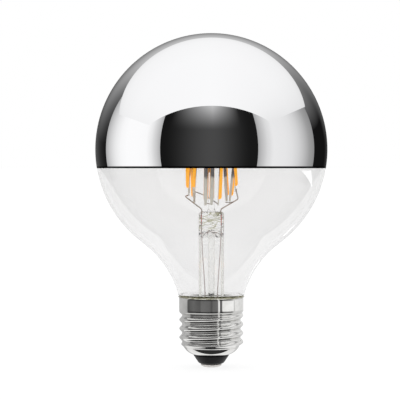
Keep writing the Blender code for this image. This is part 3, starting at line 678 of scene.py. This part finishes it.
def jaw_mark(x, z, side):
    """Ridges that the jaws leave in the hot glass, wavering across the press."""
    height = 0.0
    seed = 4.0 if side > 0.0 else 7.0
    for number, drop in enumerate(JAW_MARKS):
        level = PRESS_TOP - drop + ripple(x, seed + 3.0 * number, 0.0, 330.0, 1.3 * MM)
        height += JAW_MARK_DEPTH * math.exp(-((z - level) / JAW_MARK_WIDTH) ** 2)
    return height * smooth_step(STEM_RADIUS - abs(x), 0.3 * MM, 1.6 * MM)


def make_stem(glass):
    """Flare, straight tube, and a press pinched flat with the marks of the jaws."""
    reach = FLARE_RADIUS - STEM_RADIUS
    flare_top = NECK_BOTTOM + FLARE_HEIGHT
    low = PRESS_BOTTOM - PRESS_EASE
    edge = PRESS_TOP - POST_RADIUS
    bore = STEM_RADIUS - STEM_WALL
    profile = [(0.0, PRESS_TOP)]
    profile += arc(STEM_RADIUS - POST_RADIUS, edge, POST_RADIUS, POST_RADIUS, math.pi / 2, 0.0, 9)
    profile += slope((STEM_RADIUS, edge), (STEM_RADIUS, low), STEM_ROWS)
    profile += arc(FLARE_RADIUS, flare_top, -reach, FLARE_HEIGHT, 0.0, -math.pi / 2, 24)
    profile += arc(FLARE_RADIUS, flare_top - STEM_WALL, -reach - STEM_WALL, FLARE_HEIGHT,
                   -math.pi / 2, 0.0, 24)
    profile += arc(0.0, low, bore, PRESS_BOTTOM - low, 0.0, math.pi / 2, 20)[:-1]
    profile.append((0.0, PRESS_BOTTOM))
    stem = turned_mesh("stem_glass", profile, STEM_STEPS)
    for vertex in stem.data.vertices:
        shape_press(vertex, low, bore)
    finish_glass(stem, glass, "stem_tube")


def shape_press(vertex, low, bore):
    """Pinches one point of the tube above low, with the jaws' marks and uneven ends of press and bore."""
    x, y, z = vertex.co
    pinch = smooth_step(z, low, PRESS_BOTTOM)
    vertex.co.y *= 1.0 - (1.0 - PRESS_SQUEEZE) * pinch
    jaw = smooth_step(z, PRESS_BOTTOM - 1.5 * MM, PRESS_BOTTOM + MM)
    wave = ripple(x, 0.0, z, 300.0, 0.3 * MM) + jaw_mark(x, z, vertex.co.y)
    wave *= smooth_step(abs(vertex.co.y), 0.1 * MM, MM)
    vertex.co.y += math.copysign(wave * jaw, vertex.co.y)
    if math.hypot(x, y) < bore + SKIN_GAP and z > low:
        vertex.co.z -= abs(ripple(x, y, 9.0, 420.0, BORE_END_WAVE)) * pinch
    top = smooth_step(z, PRESS_TOP - PRESS_TOP_DEPTH, PRESS_TOP)
    vertex.co.z += ripple(x, y, 3.0, 380.0, PRESS_TOP_WAVE) * top


def make_exhaust_tube(glass):
    top = PRESS_BOTTOM - EXHAUST_DROP
    tip = NECK_BOTTOM - CLEARANCE
    inner = EXHAUST_RADIUS - EXHAUST_WALL
    profile = [(EXHAUST_RADIUS * share, top - drop) for share, drop in TUBE_MOUTH]
    profile += arc(0.0, tip + 2 * EXHAUST_RADIUS, EXHAUST_RADIUS, 2 * EXHAUST_RADIUS, 0.0, -math.pi / 2, 12)
    profile.append((0.0, tip + 3 * EXHAUST_RADIUS))
    profile += arc(0.0, tip + 4 * EXHAUST_RADIUS, inner, EXHAUST_RADIUS, -math.pi / 3, 0.0, 5)
    profile += [(inner, top - TUBE_MOUTH[-1][1]), (inner * 1.3, top)]
    tube = turned_mesh("exhaust_glass", profile, ROD_STEPS, closed=True)
    finish_glass(tube, glass, "exhaust_tube")


def make_post(glass):
    centre = bead_centre()
    half = POST_BEAD_HEIGHT / 2
    low = PRESS_TOP + CLEARANCE
    profile = [(0.0, centre + half)]
    profile += arc(0.0, centre, POST_BEAD_RADIUS, half, math.radians(80.0), math.radians(-45.0), 20)
    profile += slope(profile[-1], (POST_RADIUS, centre - half), 6)
    profile += [(POST_RADIUS * share, low + rise) for share, rise in POST_FOOT]
    profile.append((0.0, low))
    post = turned_mesh("post_glass", profile, ROD_STEPS)
    finish_glass(post, glass, "glass_post")


# Cap
def cap_radius(radius, angle, height):
    """Radius of the drawn cup with its right-hand thread rolled in, and its skirt hardly uneven."""
    if height > THREAD_TOP + MM:
        return radius + ripple(math.cos(angle), math.sin(angle), height * 40.0, 2.2, 0.03 * MM)
    if not THREAD_BOTTOM < height < THREAD_TOP:
        return radius
    phase = (height - THREAD_BOTTOM) / THREAD_PITCH - (angle - THREAD_START_ANGLE) / math.tau
    middle = (THREAD_CREST_RADIUS + THREAD_ROOT_RADIUS) / 2
    swing = (THREAD_CREST_RADIUS - THREAD_ROOT_RADIUS) / 2
    share = (1.0 + math.cos(math.tau * phase)) / 2
    rolled = middle + swing * (2.0 * share ** CREST_SHARPNESS - 1.0)
    run_in = smooth_step(height, THREAD_BOTTOM, THREAD_BOTTOM + THREAD_RUN_OUT)
    run_out = 1.0 - smooth_step(height, THREAD_TOP - THREAD_RUN_OUT, THREAD_TOP)
    return radius + (rolled - radius) * run_in * run_out


def shoulder_profile():
    """Between a cone and a quarter ellipse, as the drawn end of the cap is."""
    reach = SHOULDER_RADIUS - SHELL_MOUTH_RADIUS
    points = []
    for r, z in arc(0.0, 0.0, 1.0, 1.0, 0.0, -math.pi / 2, 16):
        bulge = 1.0 + (1.0 / (r - z) - 1.0) * SHOULDER_FLATNESS
        points.append((SHELL_MOUTH_RADIUS + reach * r * bulge, THREAD_BOTTOM + SHOULDER_HEIGHT * z * bulge))
    return points


def make_cap():
    """The drawn and rolled cap with its lip, skirt, thread and shoulder."""
    profile = arc(LIP_RADIUS, SKIRT_TOP, SKIRT_RADIUS - LIP_RADIUS, LIP_HEIGHT, math.pi / 2, 0.0, 10)
    profile += slope((SKIRT_RADIUS, SKIRT_TOP), (SKIRT_RADIUS, THREAD_TOP), SKIRT_ROWS)
    profile += slope((SKIRT_RADIUS, THREAD_TOP), (SHOULDER_RADIUS, THREAD_BOTTOM), THREAD_ROWS)
    shoulder = shoulder_profile()
    profile += shoulder[1:]
    inner = [(r - SHELL_WALL, z) for r, z in profile[:-len(shoulder)]]
    inner += [(r - SHELL_WALL * 0.8, z + SHELL_WALL * 0.6) for r, z in profile[-len(shoulder):]]
    inner[-1] = (SHELL_MOUTH_RADIUS, SHELL_BOTTOM + SHELL_WALL)
    shell = turned_mesh("threaded_cap", profile + inner[::-1], CAP_STEPS, closed=True, shape=cap_radius)
    finish_piece(shell, cap_look(), "screw_shell", angle=70.0)


def make_cement():
    """Olive cement that fills unevenly between the neck and the lip, hard against the glass."""
    outer = SKIRT_RADIUS - SHELL_WALL - CEMENT_GAP
    top = CAP_TOP + CEMENT_RISE
    bottom = CAP_TOP - CEMENT_HEIGHT
    dip = CAP_TOP - CEMENT_DIP
    against = [(r - CEMENT_SINK, z) for r, z in globe_profile() if dip - 2.2 * MM < z < dip]
    profile = [(LIP_RADIUS - SHELL_WALL - CEMENT_GAP, CAP_TOP), (outer, SKIRT_TOP - 0.3 * MM)]
    profile += [(outer, bottom), (NECK_RADIUS - CEMENT_SINK, bottom)]
    profile += against[::-1]
    profile += [(against[0][0], dip), (NECK_WAIST_RADIUS + 0.35 * MM, top)]
    cement = turned_mesh("cement_ring", profile, CAP_STEPS, closed=True)
    for vertex in cement.data.vertices:
        if vertex.co.z > top - 0.05 * MM:
            x, y, _ = vertex.co
            vertex.co.z -= CEMENT_FALL_BACK * (y + SKIRT_RADIUS)
            vertex.co.z += ripple(x, y, 0.0, 300.0, 0.35 * MM) + ripple(x, y, 5.0, 1100.0, 0.15 * MM)
    finish_piece(cement, cement_look(), "basing_cement")


def make_insulator():
    plug = SHELL_MOUTH_RADIUS - SHELL_WALL - CLEARANCE
    plug_top = INSULATOR_TOP + INSULATOR_PLUG_HEIGHT
    top = INSULATOR_TOP + 0.25 * MM
    seat = Vector((plug, top))
    rim = Vector((INSULATOR_RADIUS, top))
    foot = Vector((INSULATOR_FOOT_RADIUS, INSULATOR_BOTTOM))
    bore = Vector((INSULATOR_BORE, INSULATOR_BOTTOM))
    profile = [(plug, plug_top), seat]
    profile += round_corner(seat, rim, foot, 0.5 * MM, 5)
    profile += round_corner(rim, foot, bore, 0.8 * MM, 5)
    profile += [bore, (INSULATOR_BORE, plug_top)]
    piece = turned_mesh("black_insulator", profile, INSULATOR_STEPS, closed=True)
    look = plain_look("black_glass", (0.012, 0.011, 0.012), (0.004, 0.004, 0.005), 0.3, 0.0, 300.0, 0.03,
                      shine=0.12)
    finish_piece(piece, look, "insulator")


def make_contact():
    """The solder button: a flattened drop with a soft uneven skin."""
    seat = CONTACT_HEIGHT + 0.2 * MM
    profile = [(0.0, seat), (CONTACT_RADIUS * 0.96, seat)]
    profile += arc(CONTACT_FLAT_RADIUS, CONTACT_HEIGHT, CONTACT_RADIUS - CONTACT_FLAT_RADIUS,
                   CONTACT_HEIGHT, 0.0, -math.pi / 2, 16)
    profile += [(CONTACT_FLAT_RADIUS * 0.5, 0.0), (0.0, 0.0)]
    piece = turned_mesh("solder_button", profile, CONTACT_STEPS)
    for vertex in piece.data.vertices:
        x, y, z = vertex.co
        if 0.05 * MM < z < CONTACT_HEIGHT:
            swell = 1.0 - max(0.0, ripple(x, y, z, 500.0, 0.16))
            vertex.co.x *= swell
            vertex.co.y *= swell
    look = plain_look("tin_solder", (0.74, 0.71, 0.69), (0.55, 0.53, 0.51), 0.36, 0.6, 500.0, 0.06)
    finish_piece(piece, look, "centre_contact", angle=60.0)


# Filament cage
def cage_point(radius, azimuth, height):
    return around(radius, math.radians(azimuth), height)


def filament_ends(row):
    foot_azimuth, head_azimuth, _, rise = row
    foot = cage_point(FOOT_RING_RADIUS, foot_azimuth, PRESS_TOP + rise * MM)
    head = cage_point(HEAD_RING_RADIUS, head_azimuth, foot.z)
    head.z += math.sqrt(FILAMENT_LENGTH ** 2 - (head - foot).length_squared)
    return foot, head


def filament_frame(row):
    """Foot point and the three directions of a filament: along it, facing out, and across."""
    foot, head = filament_ends(row)
    along = (head - foot).normalized()
    out = cage_point(1.0, row[2], 0.0)
    facing = (out - along * out.dot(along)).normalized()
    return foot, along, facing, along.cross(facing)


def bead_centre():
    heads = [filament_ends(row)[1].z for row in FILAMENTS]
    return (min(heads) + max(heads)) / 2


def loft(name, sections):
    """Joins closed sections of equal count, with both ends closed."""
    vertices = [point for section in sections for point in section]
    count = len(sections[0])
    last = len(vertices) - count
    faces = []
    for start in range(0, last, count):
        for i in range(count):
            j = (i + 1) % count
            faces.append((start + i, start + j, start + count + j, start + count + i))
    faces += [tuple(reversed(range(count))), tuple(range(last, last + count))]
    piece = mesh_object(name, vertices, faces)
    fix_normals(piece.data)
    return piece


def make_strip(number, row, metal):
    """A thin strip with narrowed tabs at its ends."""
    foot, along, facing, across = filament_frame(row)
    marks = [(distance * MM, half * MM) for distance, half in STRIP_STATIONS]
    marks += [(FILAMENT_LENGTH - distance, half) for distance, half in reversed(marks)]
    thick = facing * STRIP_THICKNESS / 2
    sections = []
    for distance, half in marks:
        spot = foot + along * distance
        sections.append([spot + across * half * u + thick * v for u, v in STRIP_SECTION])
    strip = loft(f"led_strip_{number}", sections)
    finish_piece(strip, metal, f"filament_strip_{number}", angle=30.0)


def make_bead(number, row, phosphor):
    """The phosphor bead, moulded on the strip: domed outside, thin round the edges, rounded at its ends."""
    foot, along, facing, across = filament_frame(row)
    length = FILAMENT_LENGTH - 2 * TAB_LENGTH
    low = STRIP_THICKNESS / 2 - 0.02 * MM
    half = PHOSPHOR_WIDTH / 2
    tall = PHOSPHOR_HEIGHT + 0.15 * MM
    sections = []
    for k in range(BEAD_STATIONS + 1):
        share = k / BEAD_STATIONS
        spot = foot + along * (TAB_LENGTH + length * share)
        from_end = min(share, 1.0 - share) * length
        swell = math.sqrt(max(0.0, 1.0 - (1.0 - min(1.0, from_end / (0.7 * MM))) ** 2)) * 0.45 + 0.55
        swell *= 1.0 + ripple(number * 3.1, share * 9.0, 0.0, 1.0, 0.05)
        outline = [(-half * 0.97, low)]
        for i in range(13):
            angle = math.pi * (1.0 - i / 12)
            outline.append((half * math.cos(angle) * (0.9 + 0.1 * swell),
                            low + PHOSPHOR_SIDE + (tall - PHOSPHOR_SIDE) * math.sin(angle) * swell))
        outline.append((half * 0.97, low))
        sections.append([spot + across * u + facing * v for u, v in outline])
    bead = loft(f"phosphor_bead_{number}", sections)
    finish_piece(bead, phosphor, f"filament_phosphor_{number}", angle=50.0)


def inside_tab(number, distance, radius):
    """A point beside a filament's tab, on the side of the lamp's axis, for a wire of that radius."""
    foot, along, facing, _ = filament_frame(FILAMENTS[number - 1])
    spot = foot + along * distance
    if facing.dot(Vector((spot.x, spot.y, 0.0))) > 0.0:
        facing = -facing
    return spot + facing * (STRIP_THICKNESS / 2 + radius * 0.8)


def under_foot(number, radius):
    """A point just under a filament's foot."""
    return filament_ends(FILAMENTS[number - 1])[0] - Vector((0.0, 0.0, CLEARANCE + radius))


def past(end, start):
    """A point that runs past the end of a wire, seen from its start."""
    return end + (end - start).normalized() * WIRE_OVERHANG


def make_support_wires(steel):
    """Arms, bridges and supports of the filaments, on the same routes as the solids."""
    def support(name, node, route, radius=SUPPORT_RADIUS, cut=MM):
        wire(name, route, radius, cut, steel, node)

    for number, (first, second) in enumerate(HEAD_PAIRS, start=1):
        distance = FILAMENT_LENGTH - HEAD_WIRE_DROP
        start = inside_tab(first, distance, SUPPORT_RADIUS)
        end = inside_tab(second, distance, SUPPORT_RADIUS)
        towards = Vector((start.x + end.x, start.y + end.y, 0.0)).normalized()
        inner = towards * POST_BEAD_RADIUS * 0.7 + Vector((0.0, 0.0, bead_centre()))
        support(f"head_support_{number}", f"head_wire_{number}", (start, inner, end))
    for number, filament in enumerate(POST_FEET, start=1):
        outer = inside_tab(filament, FOOT_WIRE_RISE, SUPPORT_RADIUS)
        inner = Vector((outer.x, outer.y, 0.0)).normalized() * POST_RADIUS * 0.7
        inner.z = PRESS_TOP + POST_WIRE_RISE + (number - 1) * POST_WIRE_STEP
        middle = inner.lerp(outer, 0.5) + Vector((0.0, 0.0, 0.35 * MM))
        support(f"foot_support_{number}", f"foot_wire_{number}", (inner, middle, outer), cut=2 * MM)
    start_z = PRESS_TOP - SEAL_WIRE_DEPTH
    rise = PRESS_TOP + ARM_RISE
    left_front = under_foot(2, ARM_RADIUS)
    left_back = under_foot(1, ARM_RADIUS)
    hook = left_front + HOOK_REACH
    left_root = Vector((-LEAD_SPREAD_IN_PRESS, 0.0, rise))
    route = ((-LEAD_SPREAD_IN_PRESS, 0.0, start_z), left_root, hook, left_front, past(left_back, left_front))
    support("hooked_arm", "lead_arm_left", route, ARM_RADIUS, 0.7 * MM)
    foot, along, facing, _ = filament_frame(FILAMENTS[-1])
    seat = foot + facing * (STRIP_THICKNESS / 2 + ARM_RADIUS)
    elbow = seat + ELBOW_REACH
    right_root = Vector((LEAD_SPREAD_IN_PRESS, 0.0, rise))
    route = ((LEAD_SPREAD_IN_PRESS, 0.0, start_z), right_root, elbow, seat - along * WIRE_OVERHANG,
             seat + along * 2 * WIRE_OVERHANG)
    support("turned_up_arm", "lead_arm_right", route, ARM_RADIUS, 0.7 * MM)
    beside = Vector((0.0, ARM_RADIUS + SUPPORT_RADIUS, 0.0))
    foot = under_foot(4, SUPPORT_RADIUS)
    share = (foot.x - left_root.x) / (hook.x - left_root.x)
    on_arm = left_root.lerp(hook, share) + beside
    support("left_foot_bridge", "foot_bridge_left", (on_arm, past(foot, on_arm)))
    first = under_foot(8, SUPPORT_RADIUS)
    second = under_foot(9, SUPPORT_RADIUS)
    on_arm = right_root.lerp(elbow, BRIDGE_SHARE_OF_ARM) + beside
    support("right_foot_bridge", "foot_bridge_right", (past(first, second), first, second, on_arm))


def make_leads(copper, seal):
    """The two sealing wires in the press and the leads below them."""
    seal_top = PRESS_TOP - SEAL_WIRE_DEPTH
    seal_bottom = seal_top - SEAL_WIRE_LENGTH
    for side, label in ((-1, "left"), (1, "right")):
        x_press = side * LEAD_SPREAD_IN_PRESS
        x_cap = side * LEAD_SPREAD_IN_CAP
        route = ((x_press, 0.0, seal_top), (x_press, 0.0, seal_bottom))
        wire(f"{label}_seal", route, LEAD_RADIUS, MM, seal, f"seal_wire_{label}")
        route = ((x_press, 0.0, seal_bottom), (x_press, 0.0, PRESS_BOTTOM - PRESS_EASE),
                 (x_cap, 0.0, CAP_TOP), (x_cap, 0.0, BOARD_TOP + CLEARANCE))
        wire(f"{label}_lead", route, LEAD_RADIUS, 8 * MM, copper, f"lead_wire_{label}")


def dress_hidden_nodes(nodes):
    """Finishes for the pieces in the cap, which keep their solids."""
    steel = plain_look("tinned_wire", (0.62, 0.58, 0.5), (0.45, 0.41, 0.34), 0.35, 1.0, 800.0, 0.02)
    black = plain_look("moulded_black", (0.03, 0.03, 0.032), (0.015, 0.015, 0.016), 0.45, 0.0, 900.0, 0.03)
    finishes = {
        "driver_board": plain_look("laminate", (0.07, 0.24, 0.11), (0.04, 0.16, 0.07), 0.4, 0.0, 600.0, 0.02),
        "rectifier": black,
        "driver_chip": black,
        "capacitor": plain_look("can_sleeve", (0.3, 0.3, 0.34), (0.2, 0.2, 0.23), 0.35, 0.7, 500.0, 0.02),
        "fuse_resistor": plain_look("resistor_coat", (0.1, 0.3, 0.25), (0.06, 0.22, 0.18), 0.45, 0.0, 500.0,
                                    0.03),
        "shell_feed_wire": steel,
        "contact_feed_wire": steel,
    }
    for name, finish in finishes.items():
        mesh = nodes[name].data
        mesh.materials.clear()
        mesh.materials.append(finish)


# Studio
def light_material(name, across, upwards=None, shown_by=None, brightness=1.0):
    """Light whose level runs along U, and along V if given; it can be kept to one kind of surface."""
    material = bpy.data.materials.new(name)
    material.use_nodes = True
    nodes = Nodes(material.node_tree)
    nodes.tree.nodes.clear()
    coords = nodes.node("UVMap")
    coords.uv_map = "card"
    u, v, _ = nodes.split(coords.outputs["UV"])
    level = nodes.ramp(u, *across)
    if upwards:
        level = nodes.mix(1.0, level, nodes.ramp(v, *upwards), "MULTIPLY")
    surface = nodes.node("Emission", ("Color", level), ("Strength", brightness)).outputs["Emission"]
    if shown_by:
        clear = nodes.node("BsdfTransparent").outputs["BSDF"]
        singular = nodes.node("LightPath").outputs["Is Singular Ray"]
        metal_sees, glass_sees = (surface, clear) if shown_by == "polished metal" else (clear, surface)
        mixed = nodes.node("MixShader", ("Fac", singular), (1, metal_sees), (2, glass_sees))
        surface = mixed.outputs["Shader"]
    nodes.node("OutputMaterial", ("Surface", surface))
    return material


def make_light(name, vertices, faces, spots, material, lights_lamp=False):
    """Shows in reflections and may light the lamp, but isn't seen itself; spots are the corners' (U, V)."""
    piece = mesh_object(name, vertices, faces)
    uv = piece.data.uv_layers.new(name="card")
    for loop, corner in zip(uv.data, piece.data.loops):
        loop.uv = spots[corner.vertex_index]
    piece.data.materials.append(material)
    piece.visible_camera = False
    piece.visible_transmission = False
    piece.visible_shadow = False
    piece.visible_diffuse = lights_lamp


def card(name, corners, across, upwards=None):
    spots = ((0.0, 0.0), (1.0, 0.0), (1.0, 1.0), (0.0, 1.0))
    make_light(name, corners, [(0, 1, 2, 3)], spots, light_material(name, across, upwards), lights_lamp=True)


def upright_card(name, start, end, top, stops):
    """A standing card from start to end, both (x, y), with its level given along the way."""
    first = stops[0][0]
    span = stops[-1][0] - first
    corners = [(*start, PANEL_FOOT), (*end, PANEL_FOOT), (*end, top), (*start, top)]
    card(name, corners, [((place - first) / span, level) for place, level in stops])


def make_studio():
    """White ceiling and side panels with front returns, dark before and behind, over a pale floor."""
    left_front = (CEILING_LEFT, CEILING_FRONT)
    right_front = (CEILING_RIGHT, CEILING_FRONT)
    plan = (left_front, right_front, (CEILING_RIGHT, CEILING_BACK_RIGHT), (CEILING_LEFT, CEILING_BACK_LEFT))
    card("ceiling_card", [(*corner, CEILING_HEIGHT) for corner in plan], CEILING_ACROSS, CEILING_BACKWARDS)
    upright_card("left_card", left_front, (CEILING_LEFT, LEFT_PANEL_BACK), PANEL_TOP, LEFT_PANEL)
    upright_card("right_card", right_front, (CEILING_RIGHT, RIGHT_PANEL_BACK), PANEL_TOP, RIGHT_PANEL)
    inner_left = (CEILING_LEFT + LEFT_RETURN[-1][0], CEILING_FRONT)
    upright_card("left_return", inner_left, left_front, CEILING_HEIGHT, LEFT_RETURN)
    inner_right = (CEILING_RIGHT - RIGHT_RETURN[-1][0], CEILING_FRONT)
    upright_card("right_return", inner_right, right_front, CEILING_HEIGHT, RIGHT_RETURN)
    make_cap_ring("thread_ring", RING_LOW, RING_MIDDLE, THREAD_LIGHT, THREAD_LIGHT_BAND)
    make_cap_ring("skirt_ring", RING_MIDDLE, RING_HIGH, SKIRT_LIGHT, SKIRT_LIGHT_BAND)
    make_foot_shade()
    make_glints()
    make_world()
    make_floor()


def paired_faces(count):
    """Faces between two rows of points that were listed in pairs."""
    return [(2 * step, 2 * step + 2, 2 * step + 3, 2 * step + 1) for step in range(count)]


def make_cap_ring(name, low, high, light, band):
    """A low ring of light and dark round the cap, below what the mirror can see."""
    vertices = []
    spots = []
    for step in range(RING_STEPS + 1):
        share = step / RING_STEPS
        angle = math.tau * share + math.pi / 2
        vertices += [around(RING_RADIUS, angle, low), around(RING_RADIUS, angle, high)]
        spots += [(share, 0.0), (share, 1.0)]
    stops = [((azimuth + 180.0) / 360.0, level) for azimuth, level in light]
    material = light_material(name, stops, band, "polished metal")
    make_light(name, vertices, paired_faces(RING_STEPS), spots, material)


def make_foot_shade():
    """A dark crescent before the lamp's foot, a painted shadow of the floor there, which its polished
    shoulder shows.
    """
    vertices = []
    for step in range(FOOT_SHADE_STEPS + 1):
        share = 2.0 * step / FOOT_SHADE_STEPS - 1.0
        angle = share * FOOT_SHADE_SPREAD - math.pi / 2
        inner = FOOT_SHADE_INNER + (FOOT_SHADE_OUTER - FOOT_SHADE_INNER) * share * share
        vertices += [around(radius, angle, FOOT_SHADE_HEIGHT) for radius in (FOOT_SHADE_OUTER, inner)]
    flat = ((0.0, FOOT_SHADE_LEVEL), (1.0, FOOT_SHADE_LEVEL))
    material = light_material("foot_shade", flat, shown_by="polished metal")
    make_light("foot_shade", vertices, paired_faces(FOOT_SHADE_STEPS), [(0.0, 0.0)] * len(vertices), material)


def make_glints():
    """Small lights that only the clear glass shows."""
    for name, level, place, corners in GLINTS:
        points = []
        for azimuth, elevation in corners:
            across = math.radians(azimuth)
            up = math.radians(elevation)
            way = Vector((math.sin(across) * math.cos(up), -math.cos(across) * math.cos(up), math.sin(up)))
            points.append(Vector(place) * MM + way * GLINT_DISTANCE)
        face = tuple(range(len(points)))
        material = light_material(f"{name}_glint", ((0.0, 1.0), (1.0, 1.0)), None, "clear glass", level)
        make_light(f"{name}_glint", points, [face], [(0.0, 0.0)] * len(points), material)


def make_world():
    """White behind everything and for soft light; in reflections a dark room with a faint front glow."""
    world = bpy.data.worlds.new("studio")
    bpy.context.scene.world = world
    world.use_nodes = True
    world.node_tree.nodes.clear()
    sky = Nodes(world.node_tree)
    x, y, z = sky.split(sky.node("TexCoord").outputs["Generated"])
    level = sky.math("SQRT", sky.math("ADD", sky.times(x, x), sky.times(y, y)))
    side = sky.math("DIVIDE", x, level)

    front_left = sky.step(side, -0.78, 0.0, 0.008, 0.068)
    front_right = sky.step(side, 0.0, 0.66, 0.0, -0.058)
    glow_height = sky.math("POWER", sky.line(z, 0.3, 0.67), 1.6)
    glow_width = sky.math("MINIMUM", sky.line(side, -0.68, 0.02), sky.line(side, 0.5, 0.02))
    front = sky.math("ADD", front_left, front_right, sky.times(glow_height, glow_width, 0.52))

    low_back = sky.times(sky.step(x, -0.8, -0.15, 0.008, 0.1), sky.step(x, -0.1, 0.3, 1.0, 0.07))
    high_left = sky.times(sky.line(z, 0.05, 0.7, 0.05, 0.68), sky.step(x, 0.2, 0.6, 1.0, 0.0),
                          sky.step(x, -0.85, -0.35, 0.15, 1.0))
    high_right = sky.times(sky.line(z, 0.15, 0.7, 0.0, 0.36), sky.step(x, 0.2, 0.6))
    back = sky.math("MAXIMUM", low_back, sky.math("ADD", high_left, high_right))

    room = sky.step(y, -0.05, 0.05, front, back)
    below = sky.times(sky.step(z, -0.3, -0.5, 0.0, 0.95), sky.step(y, -0.72, -0.55))

    path = sky.node("LightPath").outputs
    ahead = sky.times(sky.step(y, -0.1, -0.3), sky.step(z, DARK_FIELD_FOOT, DARK_FIELD_FOOT + 0.2))
    narrow = sky.step(sky.math("ABSOLUTE", side), DARK_FIELD_EDGE, DARK_FIELD_EDGE - 0.1)
    surround = sky.math("SUBTRACT", GLASS_SURROUND, sky.times(ahead, narrow, 0.8))
    on_glass = sky.times(path["Is Singular Ray"], surround)
    strength = sky.math("MAXIMUM", room, below, on_glass, path["Is Camera Ray"], path["Is Transmission Ray"],
                        path["Is Diffuse Ray"])
    background = sky.node("Background", ("Color", (1.0, 1.0, 1.0)), ("Strength", strength))
    sky.node("OutputWorld", ("Surface", background.outputs["Background"]))


def make_floor():
    """A wide pale floor at the foot of the lamp, left out of reflections."""
    reach = FLOOR_REACH
    corners = [(-reach, -reach, 0.0), (reach, -reach, 0.0), (reach, reach, 0.0), (-reach, reach, 0.0)]
    floor = mesh_object("floor", corners, [(0, 1, 2, 3)])
    look = Look("pale_floor", (0.25, 0.25, 0.25), 0.8)
    look.set("Base Color", look.ramp(look.noise(3.0), (0.3, 0.245), (0.7, 0.255)))
    look.set("Specular IOR Level", 0.0)
    look.set("Emission Color", (1.0, 1.0, 1.0))
    look.set("Emission Strength", 0.82)
    floor.data.materials.append(look.material)
    floor.visible_glossy = False


def make_camera():
    """Level with the mirror's edge, tilted down a little, as the photograph was taken."""
    data = bpy.data.cameras.new("camera")
    camera = add_object("camera", data)
    data.sensor_width = SENSOR_WIDTH
    data.lens = SENSOR_WIDTH * CAMERA_DISTANCE / (PICTURE_PIXELS * METRES_PER_PIXEL)
    x = (PICTURE_PIXELS / 2 - AXIS_COLUMN) * METRES_PER_PIXEL
    aim_z = (FOOT_ROW - PICTURE_PIXELS / 2) * METRES_PER_PIXEL
    eye = Vector((x, -CAMERA_DISTANCE, CROWN_EDGE))
    camera.location = eye
    camera.rotation_euler = (Vector((x, 0.0, aim_z)) - eye).to_track_quat("-Z", "Y").to_euler()
    bpy.context.scene.camera = camera


def main():
    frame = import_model()
    make_camera()
    make_studio()
    mount_glass = mount_glass_look()
    make_globe()
    make_crown()
    make_stem(mount_glass)
    make_exhaust_tube(mount_glass)
    make_post(mount_glass)
    make_cap()
    make_cement()
    make_insulator()
    make_contact()
    strip_metal = strip_look()
    phosphor = phosphor_painted_glow_look()
    for number, row in enumerate(FILAMENTS, start=1):
        make_strip(number, row, strip_metal)
        make_bead(number, row, phosphor)
    steel = plain_look("drawn_wire", (0.55, 0.47, 0.4), (0.34, 0.27, 0.22), 0.35, 0.7, 900.0, 0.01)
    copper = plain_look("dull_lead", (0.8, 0.67, 0.64), (0.6, 0.48, 0.46), 0.4, 0.4, 700.0, 0.01)
    seal = plain_look("red_seal_wire", (0.95, 0.2, 0.16), (0.82, 0.1, 0.08), 0.4, 0.0, 700.0, 0.01)
    make_support_wires(steel)
    make_leads(copper, seal)
    dress_hidden_nodes(frame["nodes"])
    bpy.context.scene.view_settings.view_transform = "Standard"


main()
